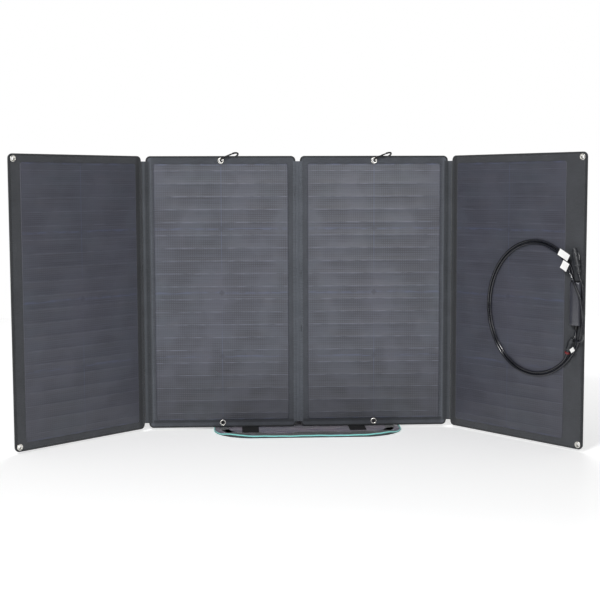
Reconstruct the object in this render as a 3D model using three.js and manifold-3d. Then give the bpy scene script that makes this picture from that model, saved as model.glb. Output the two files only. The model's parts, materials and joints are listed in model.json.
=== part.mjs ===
// A folding solar blanket: four stiff cloth-covered panels hinged edge to edge, standing half open on
// the carrying case that unzips into its kickstand. Millimetres, +Z up, the front faces -Y. The origin
// is on the floor, straight below the centre hinge.
import * as THREE from "three";
import { mergeVertices } from "three/addons/utils/BufferGeometryUtils.js";
import Module from "manifold-3d";

const wasm = await Module();
wasm.setup();

// ---- Driving dimensions ----------------------------------------------------------------------------
const PANEL_HEIGHT = 680;
const MIDDLE_WIDTH = 382; // from one hinge axis to the next
const LEFT_WING_WIDTH = 386;
const RIGHT_WING_WIDTH = 412; // wider, for the junction box on its outer border
const PANEL_LIFT = 5; // the panels' lower edges above the floor
const HALF_SEAM = 6; // from a hinge axis to the stiff edge beside it
const PANEL_CORNER = 11;
const LEFT_FOLD = THREE.MathUtils.degToRad(43.9); // how far each wing stands forward of flat
const RIGHT_FOLD = THREE.MathUtils.degToRad(52.7);

const CELL_WIDTH = 165.5;
const CELL_HEIGHT = 160;
const CELL_ROWS = 4;
const LAMINATE_SIDE = 25.4; // from a hinge axis to the cells
const LAMINATE_FOOT = 20; // from a panel's lower edge to the cells
const LAMINATE_WIDTH = 2 * CELL_WIDTH;
const LAMINATE_HEIGHT = CELL_ROWS * CELL_HEIGHT;
const DIAMOND = 8; // half diagonal of the gap where four cut cell corners meet

// Layers of a panel, front to back: [front face, back face] in Y, with the panel's middle at 0.
const SKIN = [-3.7, -3.1];
const BORDER = [-2.8, -1.8];
const CELLS = [-2.7, -1.8];
const CORE = [-1.5, 1.5];
const BACK = [1.8, 2.8];
const VALLEY_AXIS_Y = -4.2; // the wings fold forward about an axis just in front of the skins
const RIDGE_AXIS_Y = 4.4; // the centre folds back about an axis just behind the grommets

const GROMMET_INSET = 11;
const GROMMET_HOLE = 4.75;
const GROMMET_BARREL = 5.75;
const GROMMET_FLANGE = 8;
const GROMMET_FACES = [3.1, 3.9];

const WIRE = 2.2; // carabiner wire radius
const CARABINER_BEND = 11;
const CARABINER_STRAIGHT = 24;
const CARABINER_TILT = THREE.MathUtils.degToRad(22);
const CARABINER_ROLL = THREE.MathUtils.degToRad(25); // its front side stands higher than its back side
const GATE_WIRE = 1.9;
const GATE_GAP = 0.9;
const STRAP_WIDTH = 15;
const STRAP_TAIL = 40;

const CASE_LEFT = -213;
const CASE_RIGHT = 257;
const CASE_FRONT = -124;
const CASE_REAR = 178;
const CASE_CORNER = 100;
const CASE_MIDDLE = (CASE_LEFT + CASE_RIGHT) / 2;
const FLAP = [0, 1.6];
const LINING = [1.9, 3.1];
const PIPING = 1.6;
const LEAF_AXIS = [186, 3]; // Y and Z of the fold between the flap on the floor and the leaf behind
const LEAF_LEAN = THREE.MathUtils.degToRad(15);
const LEAF_LENGTH = 672;
const LEAF_FOOT = 6;
const LEAF_CORNER = 40;
const LEAF_BOARD = [-2.5, 0];
const LEAF_COVER = [0.3, 1.8];
const ZIP_WIDTH = 6;
const ZIP_DEPTH = [-1.6, 0.6];

const HANDLE_AXIS_Z = 596; // along the leaf
const HANDLE_AXIS_Y = 9.2;
const HANDLE_SPAN = 116;
const HANDLE_DROP = 42;
const HANDLE_RADIUS = 6;
const LUG = [12, 14]; // handle lug's width and height

const BOX_MIDDLE = 392; // the junction box, along and up the right wing
const BOX_FOOT = 290;
const BOX_WIDTH = 30;
const BOX_HEIGHT = 102;
const BOX_BASE = [-7, -3.1];
const BOX_LID = [-17.5, -7.3];
const GLAND = { upper: 383, lower: 394.4, depth: -7.4, radius: 4.2, length: 10, root: 0.7 };
const CABLE = 2.75;
const CABLE_GAP = 0.5;
const COIL = { along: 274, up: 323, halfWidth: 139, halfHeight: 156 };
const CABLE_REST = -7.4; // depth of a cable that lies on the wing's skin

// ---- Solids ----------------------------------------------------------------------------------------
function toSolid(geometry) {
  const bare = geometry.clone();
  bare.deleteAttribute("normal");
  bare.deleteAttribute("uv");
  const merged = mergeVertices(bare, 1e-4);
  return new wasm.Manifold(
    new wasm.Mesh({
      numProp: 3,
      vertProperties: new Float32Array(merged.attributes.position.array),
      triVerts: new Uint32Array(merged.index.array),
    }),
  );
}

function toGeometry(solid) {
  const mesh = solid.getMesh();
  const geometry = new THREE.BufferGeometry();
  geometry.setAttribute("position", new THREE.BufferAttribute(new Float32Array(mesh.vertProperties), 3));
  geometry.setIndex(new THREE.BufferAttribute(new Uint32Array(mesh.triVerts), 1));
  geometry.computeVertexNormals();
  return geometry;
}

const join = (...pieces) => toGeometry(pieces.map(toSolid).reduce((whole, piece) => whole.add(piece)));
const cut = (piece, ...tools) =>
  toGeometry(tools.map(toSolid).reduce((whole, tool) => whole.subtract(tool), toSolid(piece)));

// ---- Outlines --------------------------------------------------------------------------------------
function circle(x, y, radius, sides = 16) {
  const path = new THREE.Path();
  for (let i = 0; i < sides; i += 1) {
    const turn = (2 * Math.PI * i) / sides;
    path[i ? "lineTo" : "moveTo"](x + radius * Math.cos(turn), y + radius * Math.sin(turn));
  }
  path.closePath();
  return path;
}

// A rectangle whose four corner radii are given anticlockwise from the lower left.
function roundedRectangle(left, bottom, right, top, radii) {
  const [a, b, c, d] = radii;
  const shape = new THREE.Shape();
  shape.moveTo(left + a, bottom);
  shape.lineTo(right - b, bottom);
  shape.absarc(right - b, bottom + b, b, -Math.PI / 2, 0);
  shape.lineTo(right, top - c);
  shape.absarc(right - c, top - c, c, 0, Math.PI / 2);
  shape.lineTo(left + d, top);
  shape.absarc(left + d, top - d, d, Math.PI / 2, Math.PI);
  shape.lineTo(left, bottom + a);
  shape.absarc(left + a, bottom + a, a, Math.PI, 1.5 * Math.PI);
  return shape;
}

// A flat plate that stands in the XZ plane between two depths, its outline drawn as (x, z).
function standingPlate(shape, [front, back], curveSegments = 5) {
  const geometry = new THREE.ExtrudeGeometry(shape, {
    depth: back - front,
    bevelEnabled: false,
    curveSegments,
  });
  return geometry.rotateX(Math.PI / 2).translate(0, back, 0);
}

// A flat plate that lies in the XY plane between two heights.
function lyingPlate(shape, [low, high], curveSegments = 10) {
  const geometry = new THREE.ExtrudeGeometry(shape, {
    depth: high - low,
    bevelEnabled: false,
    curveSegments,
  });
  return geometry.translate(0, 0, low);
}

function box([left, right], [front, back], [bottom, top]) {
  const geometry = new THREE.BoxGeometry(right - left, back - front, top - bottom);
  return geometry.translate((left + right) / 2, (front + back) / 2, (bottom + top) / 2);
}

function tube(curve, radius, steps, sides = 8) {
  const section = new THREE.Shape(circle(0, 0, radius, sides).getPoints());
  return new THREE.ExtrudeGeometry(section, { steps, extrudePath: curve, bevelEnabled: false });
}

// ---- Colours ---------------------------------------------------------------------------------------
const finish = (color, roughness, metalness = 0) =>
  new THREE.MeshStandardMaterial({ color, roughness, metalness });
const looks = {
  borderFabric: finish(0x4b4f50, 0.9),
  coverFabric: finish(0x3f4446, 0.95),
  board: finish(0x8a8d90, 0.8),
  cells: finish(0x2b2e44, 0.35),
  film: finish(0x5a5d6b, 0.45),
  hingeFabric: finish(0x5a5f60, 0.9),
  ribbon: finish(0xc9a58a, 0.4, 1),
  nickel: finish(0xc8c9cc, 0.25, 1),
  blackMetal: finish(0x141518, 0.35, 0.6),
  webbing: finish(0x17181a, 0.85),
  lining: finish(0x5c5a6b, 0.85),
  teal: finish(0x4bb7ad, 0.7),
  blackPlastic: finish(0x1b1c1f, 0.3),
  grayPlastic: finish(0x55565c, 0.3),
  cable: finish(0x131416, 0.3),
  paper: finish(0xf2f2f2, 0.8),
};

function piece(name, geometry, material) {
  const mesh = new THREE.Mesh(geometry, material);
  mesh.name = name;
  return mesh;
}

// ---- One panel -------------------------------------------------------------------------------------
// A panel is drawn with its inner edge towards x = 0 and its outer edge at side * width. Each hole is the
// (x, z) of a grommet.
function panelOutline(side, width, outerMargin) {
  const inner = side * HALF_SEAM;
  const outer = side * (width - outerMargin);
  const left = Math.min(inner, outer);
  const right = Math.max(inner, outer);
  const top = PANEL_LIFT + PANEL_HEIGHT;
  return roundedRectangle(left, PANEL_LIFT, right, top, Array(4).fill(PANEL_CORNER));
}

function laminateOutline(side, grow, corner) {
  const start = side * LAMINATE_SIDE;
  const end = side * (LAMINATE_SIDE + LAMINATE_WIDTH);
  const bottom = PANEL_LIFT + LAMINATE_FOOT;
  return roundedRectangle(
    Math.min(start, end) - grow,
    bottom - grow,
    Math.max(start, end) + grow,
    bottom + LAMINATE_HEIGHT + grow,
    Array(4).fill(corner),
  );
}

// Two columns of cells with cut corners, joined by their ribbons into one sheet with diamond gaps.
function cellSheet(side) {
  const middle = side * (LAMINATE_SIDE + CELL_WIDTH);
  const bottom = PANEL_LIFT + LAMINATE_FOOT;
  const sheet = laminateOutline(side, -1.5, 0.5);
  for (let row = 1; row < CELL_ROWS; row += 1) {
    const height = bottom + row * CELL_HEIGHT;
    sheet.holes.push(circle(middle, height, DIAMOND, 4));
  }
  return standingPlate(sheet, CELLS, 1);
}

function grommet(x, z) {
  const [near, far] = GROMMET_FACES;
  const profile = [
    [GROMMET_HOLE, -far],
    [GROMMET_FLANGE - 0.6, -far],
    [GROMMET_FLANGE, -near],
    [GROMMET_BARREL, -near],
    [GROMMET_BARREL, near],
    [GROMMET_FLANGE, near],
    [GROMMET_FLANGE - 0.6, far],
    [GROMMET_HOLE, far],
    [GROMMET_HOLE, -far],
  ].map(([r, y]) => new THREE.Vector2(r, y));
  return new THREE.LatheGeometry(profile, 16).translate(x, 0, z);
}

function panel(name, side, width, outerMargin, grommetX) {
  const group = new THREE.Group();
  const heights = {
    bottom: PANEL_LIFT + GROMMET_INSET,
    top: PANEL_LIFT + PANEL_HEIGHT - GROMMET_INSET,
  };
  const x = side * grommetX;
  const sheet = (holes = []) => {
    const outline = panelOutline(side, width, outerMargin);
    outline.holes.push(...holes);
    return outline;
  };
  const eyelets = () => Object.values(heights).map((z) => circle(x, z, GROMMET_BARREL + 0.35));
  const windowHole = laminateOutline(side, 0, 4);
  group.add(
    piece(`${name}_film_skin`, standingPlate(laminateOutline(side, 0.6, 6), SKIN), looks.film),
    piece(`${name}_front_border`, standingPlate(sheet([...eyelets(), windowHole]), BORDER), looks.borderFabric),
    piece(`${name}_cell_array`, cellSheet(side), looks.cells),
    piece(`${name}_core_board`, standingPlate(sheet(eyelets()), CORE), looks.board),
    piece(`${name}_back_cover`, standingPlate(sheet(eyelets()), BACK), looks.coverFabric),
    ...Object.entries(heights).map(([end, z]) => piece(`${name}_grommet_${end}`, grommet(x, z), looks.nickel)),
  );
  return group;
}

// ---- Hinges ----------------------------------------------------------------------------------------
// The cross-section of a layer that runs from one panel's edge round the hinge to the next one's. The
// layer lies between two distances from the axis, and the far half is turned by the fold angle.
function bentLayer(side, fold, near, far, reach) {
  const bend = (distance) => new THREE.Vector2(side * distance * Math.tan(fold / 2), distance);
  const end = (distance) =>
    new THREE.Vector2(side * reach, distance).rotateAround(new THREE.Vector2(0, 0), -side * fold);
  const points = [
    new THREE.Vector2(-side * reach, near),
    bend(near),
    end(near),
    end(far),
    bend(far),
    new THREE.Vector2(-side * reach, far),
  ];
  return new THREE.Shape(side > 0 ? points : points.reverse());
}

// A web is the cloth sleeve of a hinge: a front and a back layer, closed at the top and the bottom. The
// bus ribbon runs through it and carries the current from panel to panel.
function hinge(name, x, axisY, side, fold) {
  const reach = HALF_SEAM - 0.3;
  const bottom = PANEL_LIFT + 12.5;
  const top = PANEL_LIFT + PANEL_HEIGHT - 12.5;
  const layer = (depths, low, high) =>
    lyingPlate(bentLayer(side, fold, depths[0] - axisY, depths[1] - axisY, reach), [low, high]);
  const web = join(
    layer([-2.4, -1.3], bottom, top),
    layer([1.3, 2.4], bottom, top),
    layer([-2.4, 2.4], bottom, bottom + 6),
    layer([-2.4, 2.4], top - 6, top),
  );
  const group = new THREE.Group();
  group.position.set(x, axisY, 0);
  group.add(
    piece(`${name}_hinge_web`, web, looks.hingeFabric),
    piece(`${name}_bus_ribbon`, layer([-0.3, 0.3], bottom + 40, bottom + 84), looks.ribbon),
  );
  return group;
}

// ---- Carabiners ------------------------------------------------------------------------------------
// A carabiner is drawn in its own frame: x along its length from the grommet, y through the panel. Its
// gate closes the front side. It is rolled about its length, and the strap hangs straight down.
function carabiner(name, x) {
  const path = new THREE.CurvePath();
  const frontEnd = CARABINER_BEND + CARABINER_STRAIGHT;
  const at = (along, depth) => new THREE.Vector3(along, depth, 0);
  const bend = (middle, from) => {
    const points = [];
    for (let i = 0; i <= 8; i += 1) {
      const turn = from + (Math.PI * i) / 8;
      points.push(at(middle + CARABINER_BEND * Math.cos(turn), CARABINER_BEND * Math.sin(turn)));
    }
    return points;
  };
  const route = [
    at(frontEnd - GATE_GAP, -CARABINER_BEND),
    ...bend(frontEnd, -Math.PI / 2),
    at((CARABINER_BEND + frontEnd) / 2, CARABINER_BEND),
    ...bend(CARABINER_BEND, Math.PI / 2),
    at(CARABINER_BEND + GATE_GAP, -CARABINER_BEND),
  ];
  route.slice(1).forEach((point, i) => path.add(new THREE.LineCurve3(route[i], point)));
  const gate = new THREE.LineCurve3(
    at(CARABINER_BEND + 2 * GATE_GAP, -CARABINER_BEND),
    at(frontEnd - 2 * GATE_GAP, -CARABINER_BEND),
  );

  // The webbing strap loops round the back side and hangs between the panel and the leaf.
  const inner = WIRE + 0.6;
  const outer = inner + 1.4;
  const loopMiddle = (CARABINER_BEND + frontEnd) / 2;
  const loop = new THREE.Shape(circle(0, CARABINER_BEND, outer).getPoints());
  loop.holes.push(circle(0, CARABINER_BEND, inner));
  const ring = new THREE.ExtrudeGeometry(loop, { depth: STRAP_WIDTH, bevelEnabled: false })
    .translate(0, 0, -STRAP_WIDTH / 2)
    .rotateY(Math.PI / 2);
  const tail = box(
    [-STRAP_WIDTH / 2, STRAP_WIDTH / 2],
    [CARABINER_BEND - outer, CARABINER_BEND - inner + 0.05],
    [-STRAP_TAIL, -0.5],
  );
  const strap = join(ring, tail).translate(
    loopMiddle,
    CARABINER_BEND * (Math.cos(CARABINER_ROLL) - 1),
    -CARABINER_BEND * Math.sin(CARABINER_ROLL),
  );
  const hook = new THREE.Group();
  hook.rotation.x = -CARABINER_ROLL;
  hook.add(
    piece(`${name}_carabiner_body`, wireAlong(route, WIRE), looks.blackMetal),
    piece(`${name}_carabiner_gate`, tube(gate, GATE_WIRE, 1), looks.blackMetal),
  );

  const group = new THREE.Group();
  group.position.set(x, 0, PANEL_LIFT + PANEL_HEIGHT - GROMMET_INSET);
  group.rotation.y = -CARABINER_TILT;
  group.add(hook, piece(`${name}_hook_strap`, strap, looks.webbing));
  return group;
}

function wireAlong(points, radius, sides = 8) {
  return tube(new THREE.CatmullRomCurve3(points, false, "centripetal"), radius, points.length, sides);
}

// ---- Carrying case ---------------------------------------------------------------------------------
// The flap's outline: square behind, and with wide elliptical corners in front.
function flapOutline(grow) {
  const left = CASE_LEFT - grow;
  const right = CASE_RIGHT + grow;
  const front = CASE_FRONT - grow;
  const corner = CASE_CORNER + grow;
  const shape = new THREE.Shape();
  shape.moveTo(right, CASE_REAR);
  shape.lineTo(left, CASE_REAR);
  shape.lineTo(left, front + corner);
  shape.absarc(left + corner, front + corner, corner, Math.PI, 1.5 * Math.PI);
  shape.lineTo(right - corner, front);
  shape.absarc(right - corner, front + corner, corner, 1.5 * Math.PI, 2 * Math.PI);
  return shape;
}

function baseFlap() {
  const edge = flapOutline(PIPING + 0.4).getPoints(12);
  const rim = edge.slice(1).map((p) => new THREE.Vector3(p.x, p.y, PIPING + 0.1));
  const pad = (left, right, front) => box([left, right], [front, 25], [LINING[1] + 0.3, LINING[1] + 1.3]);
  const group = new THREE.Group();
  group.add(
    piece("base_flap", lyingPlate(flapOutline(0), FLAP), looks.coverFabric),
    piece("base_lining", lyingPlate(flapOutline(-3), LINING), looks.lining),
    piece("base_piping", wireAlong(rim, PIPING, 6), looks.teal),
    piece("left_strap_pad", pad(-143, -101, -72), looks.webbing),
    piece("right_strap_pad", pad(126, 168, -56), looks.webbing),
  );
  return group;
}

function spineGusset() {
  const [y, z] = LEAF_AXIS;
  const shape = new THREE.Shape();
  shape.moveTo(CASE_REAR + 0.4, 0.2);
  shape.lineTo(y + 4.4, 0.2);
  shape.lineTo(y + 4.4, z + 5);
  shape.lineTo(y + 3.2, z + 5);
  shape.lineTo(y + 3.2, 1.4);
  shape.lineTo(CASE_REAR + 0.4, 1.4);
  const width = CASE_RIGHT - CASE_LEFT;
  return new THREE.ExtrudeGeometry(shape, { depth: width, bevelEnabled: false })
    .rotateX(Math.PI / 2)
    .rotateZ(Math.PI / 2)
    .translate(CASE_LEFT, 0, 0);
}

function leafOutline(inset) {
  const corner = LEAF_CORNER - inset;
  return roundedRectangle(
    CASE_LEFT + inset,
    LEAF_FOOT,
    CASE_RIGHT - inset,
    LEAF_LENGTH - inset,
    [2, 2, corner, corner],
  );
}

// The zip's tape runs up one side of the leaf, across its top and down the other side.
function zipTape() {
  const outer = leafOutline(0);
  const low = 40;
  const cutter = standingPlate(leafOutline(ZIP_WIDTH), [ZIP_DEPTH[0] - 1, ZIP_DEPTH[1] + 1], 8);
  const foot = box([CASE_LEFT - 1, CASE_RIGHT + 1], [ZIP_DEPTH[0] - 1, ZIP_DEPTH[1] + 1], [0, low]);
  return cut(standingPlate(outer, ZIP_DEPTH, 8), cutter, foot);
}

function handleGrip() {
  const half = HANDLE_SPAN / 2;
  const corner = 16;
  const at = (x, z) => new THREE.Vector3(x, 0, z);
  const route = [
    at(-half, 0),
    at(-half, -HANDLE_DROP + corner),
    at(-half + corner * 0.3, -HANDLE_DROP + corner * 0.3),
    at(-half + corner, -HANDLE_DROP),
    at(0, -HANDLE_DROP),
    at(half - corner, -HANDLE_DROP),
    at(half - corner * 0.3, -HANDLE_DROP + corner * 0.3),
    at(half, -HANDLE_DROP + corner),
    at(half, 0),
  ];
  return wireAlong(route, HANDLE_RADIUS).translate(CASE_MIDDLE, HANDLE_AXIS_Y, HANDLE_AXIS_Z);
}

// The leaf stands behind the panels. The handle's ends turn between two lugs sewn to its cover.
function backLeaf() {
  const lug = (side) => {
    const middle = CASE_MIDDLE + side * (HANDLE_SPAN / 2 + HANDLE_RADIUS + 0.4 + LUG[0] / 2);
    return box(
      [middle - LUG[0] / 2, middle + LUG[0] / 2],
      [LEAF_COVER[1] - 0.1, HANDLE_AXIS_Y + HANDLE_RADIUS - 2],
      [HANDLE_AXIS_Z - LUG[1] / 2, HANDLE_AXIS_Z + LUG[1] / 2],
    );
  };
  const inset = ZIP_WIDTH + 0.4;
  const cover = join(standingPlate(leafOutline(inset), [LEAF_COVER[0], LEAF_COVER[1]], 8), lug(-1), lug(1));
  const slider = join(
    box([CASE_RIGHT - 5.8, CASE_RIGHT + 0.6], [-6.2, -2.1], [60, 74]),
    box([CASE_RIGHT - 4.1, CASE_RIGHT - 1.1], [-7.6, -6.1], [38, 68]),
  );
  const group = new THREE.Group();
  group.position.set(0, LEAF_AXIS[0], LEAF_AXIS[1]);
  group.rotation.x = LEAF_LEAN;
  group.add(
    piece("leaf_outer_cover", cover, looks.coverFabric),
    piece("leaf_stiffener", standingPlate(leafOutline(inset), LEAF_BOARD, 8), looks.lining),
    piece("zipper_tape", zipTape(), looks.teal),
    piece("zipper_slider", slider, looks.blackMetal),
    piece("handle_grip", handleGrip(), looks.webbing),
  );
  return group;
}

// ---- Junction box and leads, on the right wing -----------------------------------------------------
function junctionBoxBase() {
  const left = BOX_MIDDLE - BOX_WIDTH / 2;
  const outline = roundedRectangle(left, BOX_FOOT, left + BOX_WIDTH, BOX_FOOT + BOX_HEIGHT, [4, 4, 4, 4]);
  const gland = (along, z) =>
    new THREE.CylinderGeometry(GLAND.radius, GLAND.radius, GLAND.length, 12)
      .rotateX(Math.PI / 2)
      .translate(along, GLAND.depth, z);
  return join(
    standingPlate(outline, BOX_BASE),
    gland(GLAND.upper, BOX_FOOT + BOX_HEIGHT + GLAND.length / 2 - GLAND.root),
    gland(GLAND.lower, BOX_FOOT - GLAND.length / 2 + GLAND.root),
  );
}

function junctionBoxLid() {
  const half = BOX_WIDTH / 2 - 0.6;
  const shape = new THREE.Shape();
  shape.moveTo(-half, BOX_LID[1]);
  shape.lineTo(-half, BOX_LID[1] - 3);
  shape.quadraticCurveTo(-half, BOX_LID[0], 0, BOX_LID[0]);
  shape.quadraticCurveTo(half, BOX_LID[0], half, BOX_LID[1] - 3);
  shape.lineTo(half, BOX_LID[1]);
  return lyingPlate(shape, [BOX_FOOT + 1, BOX_FOOT + BOX_HEIGHT - 1], 8).translate(BOX_MIDDLE, 0, 0);
}

// A point on the loose loop that both leads make: turn is in degrees, grow shifts the strand outwards.
function loopPoint(turn, grow, depth) {
  const angle = THREE.MathUtils.degToRad(turn);
  return new THREE.Vector3(
    COIL.along + (COIL.halfWidth + grow) * Math.cos(angle),
    depth,
    COIL.up + (COIL.halfHeight + grow) * Math.sin(angle),
  );
}

function loopArc(from, to, grow) {
  const points = [];
  for (let turn = from; turn <= to; turn += 15) {
    points.push(loopPoint(turn, grow, CABLE_REST));
  }
  return points;
}

// Each plug lies between the end that its cable enters and its nose.
const UPPER_PLUG = {
  from: new THREE.Vector3(402.9, -12.7, 412.6),
  to: new THREE.Vector3(390, -13, 467),
  radius: 8.4,
};
const LOWER_PLUG = {
  from: new THREE.Vector3(371.8, -10.5, 223.2),
  to: new THREE.Vector3(386.5, -10.6, 262),
  radius: 6.4,
};
const behind = ({ from, to }, distance) =>
  from.clone().addScaledVector(to.clone().sub(from).normalize(), -distance);

const UPPER_EXIT = BOX_FOOT + BOX_HEIGHT + GLAND.length - GLAND.root + CABLE_GAP;
const LOWER_EXIT = BOX_FOOT - GLAND.length + GLAND.root - CABLE_GAP;
const upperLeadRoute = [
  new THREE.Vector3(GLAND.upper, CABLE_REST, UPPER_EXIT),
  new THREE.Vector3(GLAND.upper, CABLE_REST, UPPER_EXIT + 6),
  new THREE.Vector3(GLAND.upper - 3, CABLE_REST, UPPER_EXIT + 16),
  ...loopArc(50, 335, 3.2),
  new THREE.Vector3(412.2, CABLE_REST, 300),
  new THREE.Vector3(413, CABLE_REST, 350),
  new THREE.Vector3(411.4, -9.2, 386),
  behind(UPPER_PLUG, 8),
  behind(UPPER_PLUG, CABLE_GAP),
];
const lowerLeadRoute = [
  new THREE.Vector3(GLAND.lower, CABLE_REST, LOWER_EXIT),
  new THREE.Vector3(GLAND.lower, -7.9, LOWER_EXIT - 4.5),
  new THREE.Vector3(394.5, -10.2, 267.8),
  new THREE.Vector3(396.1, -12.0, 261.3),
  new THREE.Vector3(400.5, -13.3, 256.7),
  new THREE.Vector3(406.6, -14.0, 255.0),
  new THREE.Vector3(412.7, -14.3, 256.7),
  new THREE.Vector3(417.2, -14.4, 261.3),
  new THREE.Vector3(418.8, -14.3, 267.8),
  new THREE.Vector3(418.4, -14, 284),
  new THREE.Vector3(417.4, -14, 305),
  new THREE.Vector3(413.5, -18, 350),
  new THREE.Vector3(397, -21.5, 390),
  new THREE.Vector3(376.4, -18, 422),
  new THREE.Vector3(350, -12, 450.5),
  ...loopArc(80, 305, -3.6),
  behind(LOWER_PLUG, 9),
  behind(LOWER_PLUG, CABLE_GAP),
];

// A cable plug: a knurled nut at the cable's end, a body and a ribbed nose.
function plug({ from, to, radius }) {
  const length = from.distanceTo(to);
  const profile = [
    [0, 0],
    [0.62, 0],
    [0.8, 0.04],
    [0.8, 0.26],
    [1, 0.3],
    [1, 0.68],
    [0.84, 0.7],
    [0.84, 0.76],
    [0.94, 0.78],
    [0.94, 0.86],
    [0.7, 0.88],
    [0.7, 1],
    [0, 1],
  ].map(([r, along]) => new THREE.Vector2(r * radius, along * length));
  const geometry = new THREE.LatheGeometry(profile, 14);
  const direction = to.clone().sub(from).normalize();
  const turn = new THREE.Quaternion().setFromUnitVectors(new THREE.Vector3(0, 1, 0), direction);
  return geometry.applyQuaternion(turn).translate(from.x, from.y, from.z);
}

function label(x, depth, z, turn, width, height) {
  return box([-width / 2, width / 2], [-0.4, 0.4], [-height / 2, height / 2])
    .rotateY(THREE.MathUtils.degToRad(turn))
    .translate(x, depth, z);
}

function electrics() {
  const group = new THREE.Group();
  const smooth = (route) => new THREE.CatmullRomCurve3(route, false, "centripetal");
  group.add(
    piece("junction_box_base", junctionBoxBase(), looks.blackPlastic),
    piece("junction_box_lid", junctionBoxLid(), looks.grayPlastic),
    piece("upper_lead", tube(smooth(upperLeadRoute), CABLE, 78), looks.cable),
    piece("lower_lead", tube(smooth(lowerLeadRoute), CABLE, 80), looks.cable),
    piece("upper_connector", plug(UPPER_PLUG), looks.blackPlastic),
    piece("lower_connector", plug(LOWER_PLUG), looks.blackPlastic),
    piece("top_label", label(366, -19.4, 452, 28, 31, 16), looks.paper),
    piece("upper_label", label(371, -21.7, 427, 28, 19, 20), looks.paper),
    piece("lower_label", label(394, -19.3, 236, -35, 12, 9), looks.paper),
  );
  return group;
}

// ---- Assembly --------------------------------------------------------------------------------------
// A wing hangs on the valley hinge beside its middle panel and is turned forward by the fold angle.
function wing(side, fold, ...contents) {
  const group = new THREE.Group();
  const flat = new THREE.Group();
  flat.position.y = -VALLEY_AXIS_Y;
  flat.add(...contents);
  group.position.set(side * MIDDLE_WIDTH, VALLEY_AXIS_Y, 0);
  group.rotation.z = -side * fold;
  group.add(flat);
  return group;
}

const leftWing = panel("left_wing", -1, LEFT_WING_WIDTH, 0, LEFT_WING_WIDTH - GROMMET_INSET);
const rightWing = panel("right_wing", 1, RIGHT_WING_WIDTH, 0, RIGHT_WING_WIDTH - GROMMET_INSET);

const blanket = new THREE.Group();
blanket.add(
  panel("left_middle", -1, MIDDLE_WIDTH, HALF_SEAM, MIDDLE_WIDTH / 2),
  panel("right_middle", 1, MIDDLE_WIDTH, HALF_SEAM, MIDDLE_WIDTH / 2),
  wing(-1, LEFT_FOLD, leftWing),
  wing(1, RIGHT_FOLD, rightWing, electrics()),
  hinge("left", -MIDDLE_WIDTH, VALLEY_AXIS_Y, -1, LEFT_FOLD),
  hinge("centre", 0, RIDGE_AXIS_Y, 1, 0),
  hinge("right", MIDDLE_WIDTH, VALLEY_AXIS_Y, 1, RIGHT_FOLD),
  carabiner("left", -MIDDLE_WIDTH / 2),
  carabiner("right", MIDDLE_WIDTH / 2),
  baseFlap(),
  piece("spine_gusset", spineGusset(), looks.coverFabric),
  backLeaf(),
);

export default blanket;
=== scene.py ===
# A folding solar blanket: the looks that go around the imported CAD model. Builders work in millimetres, in
# the same frames as the CAD, and a "place" matrix turns each piece into the row frame's metres.
import json
import math

import bmesh
import bpy
from mathutils import Matrix, Vector, noise

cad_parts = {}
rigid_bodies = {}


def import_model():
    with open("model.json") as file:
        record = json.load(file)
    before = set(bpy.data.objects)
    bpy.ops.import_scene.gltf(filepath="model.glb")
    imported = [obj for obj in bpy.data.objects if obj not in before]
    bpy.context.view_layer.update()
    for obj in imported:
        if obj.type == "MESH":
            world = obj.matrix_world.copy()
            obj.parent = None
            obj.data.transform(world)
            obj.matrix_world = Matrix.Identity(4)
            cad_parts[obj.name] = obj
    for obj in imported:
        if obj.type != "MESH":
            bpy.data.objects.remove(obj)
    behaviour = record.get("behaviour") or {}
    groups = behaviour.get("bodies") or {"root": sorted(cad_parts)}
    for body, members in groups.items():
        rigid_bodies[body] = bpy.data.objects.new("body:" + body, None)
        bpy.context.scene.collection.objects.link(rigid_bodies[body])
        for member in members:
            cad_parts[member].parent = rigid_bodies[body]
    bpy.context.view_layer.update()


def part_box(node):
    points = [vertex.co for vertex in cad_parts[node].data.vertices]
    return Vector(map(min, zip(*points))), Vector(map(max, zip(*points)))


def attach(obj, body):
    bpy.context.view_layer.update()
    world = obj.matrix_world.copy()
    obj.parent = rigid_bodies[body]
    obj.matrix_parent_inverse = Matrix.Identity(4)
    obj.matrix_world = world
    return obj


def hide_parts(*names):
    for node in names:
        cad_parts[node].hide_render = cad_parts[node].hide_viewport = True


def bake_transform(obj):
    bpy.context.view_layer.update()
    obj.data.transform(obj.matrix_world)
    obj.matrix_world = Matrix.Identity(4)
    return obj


for old in list(bpy.data.objects):
    bpy.data.objects.remove(old)
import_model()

# ---- Sizes, in millimetres ----
MM = 0.001
PANEL_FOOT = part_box("left_middle_front_border")[0].z / MM
PANEL_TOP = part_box("left_middle_front_border")[1].z / MM
PANEL_CORNER = 11
HALF_SEAM = 6
HINGE_X = 382
LEFT_WIDTH = 386
RIGHT_WIDTH = 412
LEFT_FOLD = math.radians(43.9)
RIGHT_FOLD = math.radians(52.7)
VALLEY_AXIS_Y = -4.2
RIDGE_AXIS_Y = 4.4
CLOTH_FACE = 2.9
EDGE_ROUND = 2.2
SKIN_FACE = 4.1
LAMINATE_SIDE = 25.4
LAMINATE_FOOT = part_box("left_middle_cell_array")[0].z / MM - 1.5
CELL_WIDTH = 165.5
CELL_HEIGHT = 160
CELL_ROWS = 4
LAMINATE_WIDTH = 2 * CELL_WIDTH
LAMINATE_HEIGHT = CELL_ROWS * CELL_HEIGHT
BUSBAR_PITCH = CELL_HEIGHT / 5
DIAMOND = 8
GROMMET_INSET = 11
GROMMET_HOLE = 4.75
CASE_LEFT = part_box("base_flap")[0].x / MM
CASE_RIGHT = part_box("base_flap")[1].x / MM
CASE_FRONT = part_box("base_flap")[0].y / MM
CASE_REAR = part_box("base_flap")[1].y / MM
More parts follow.
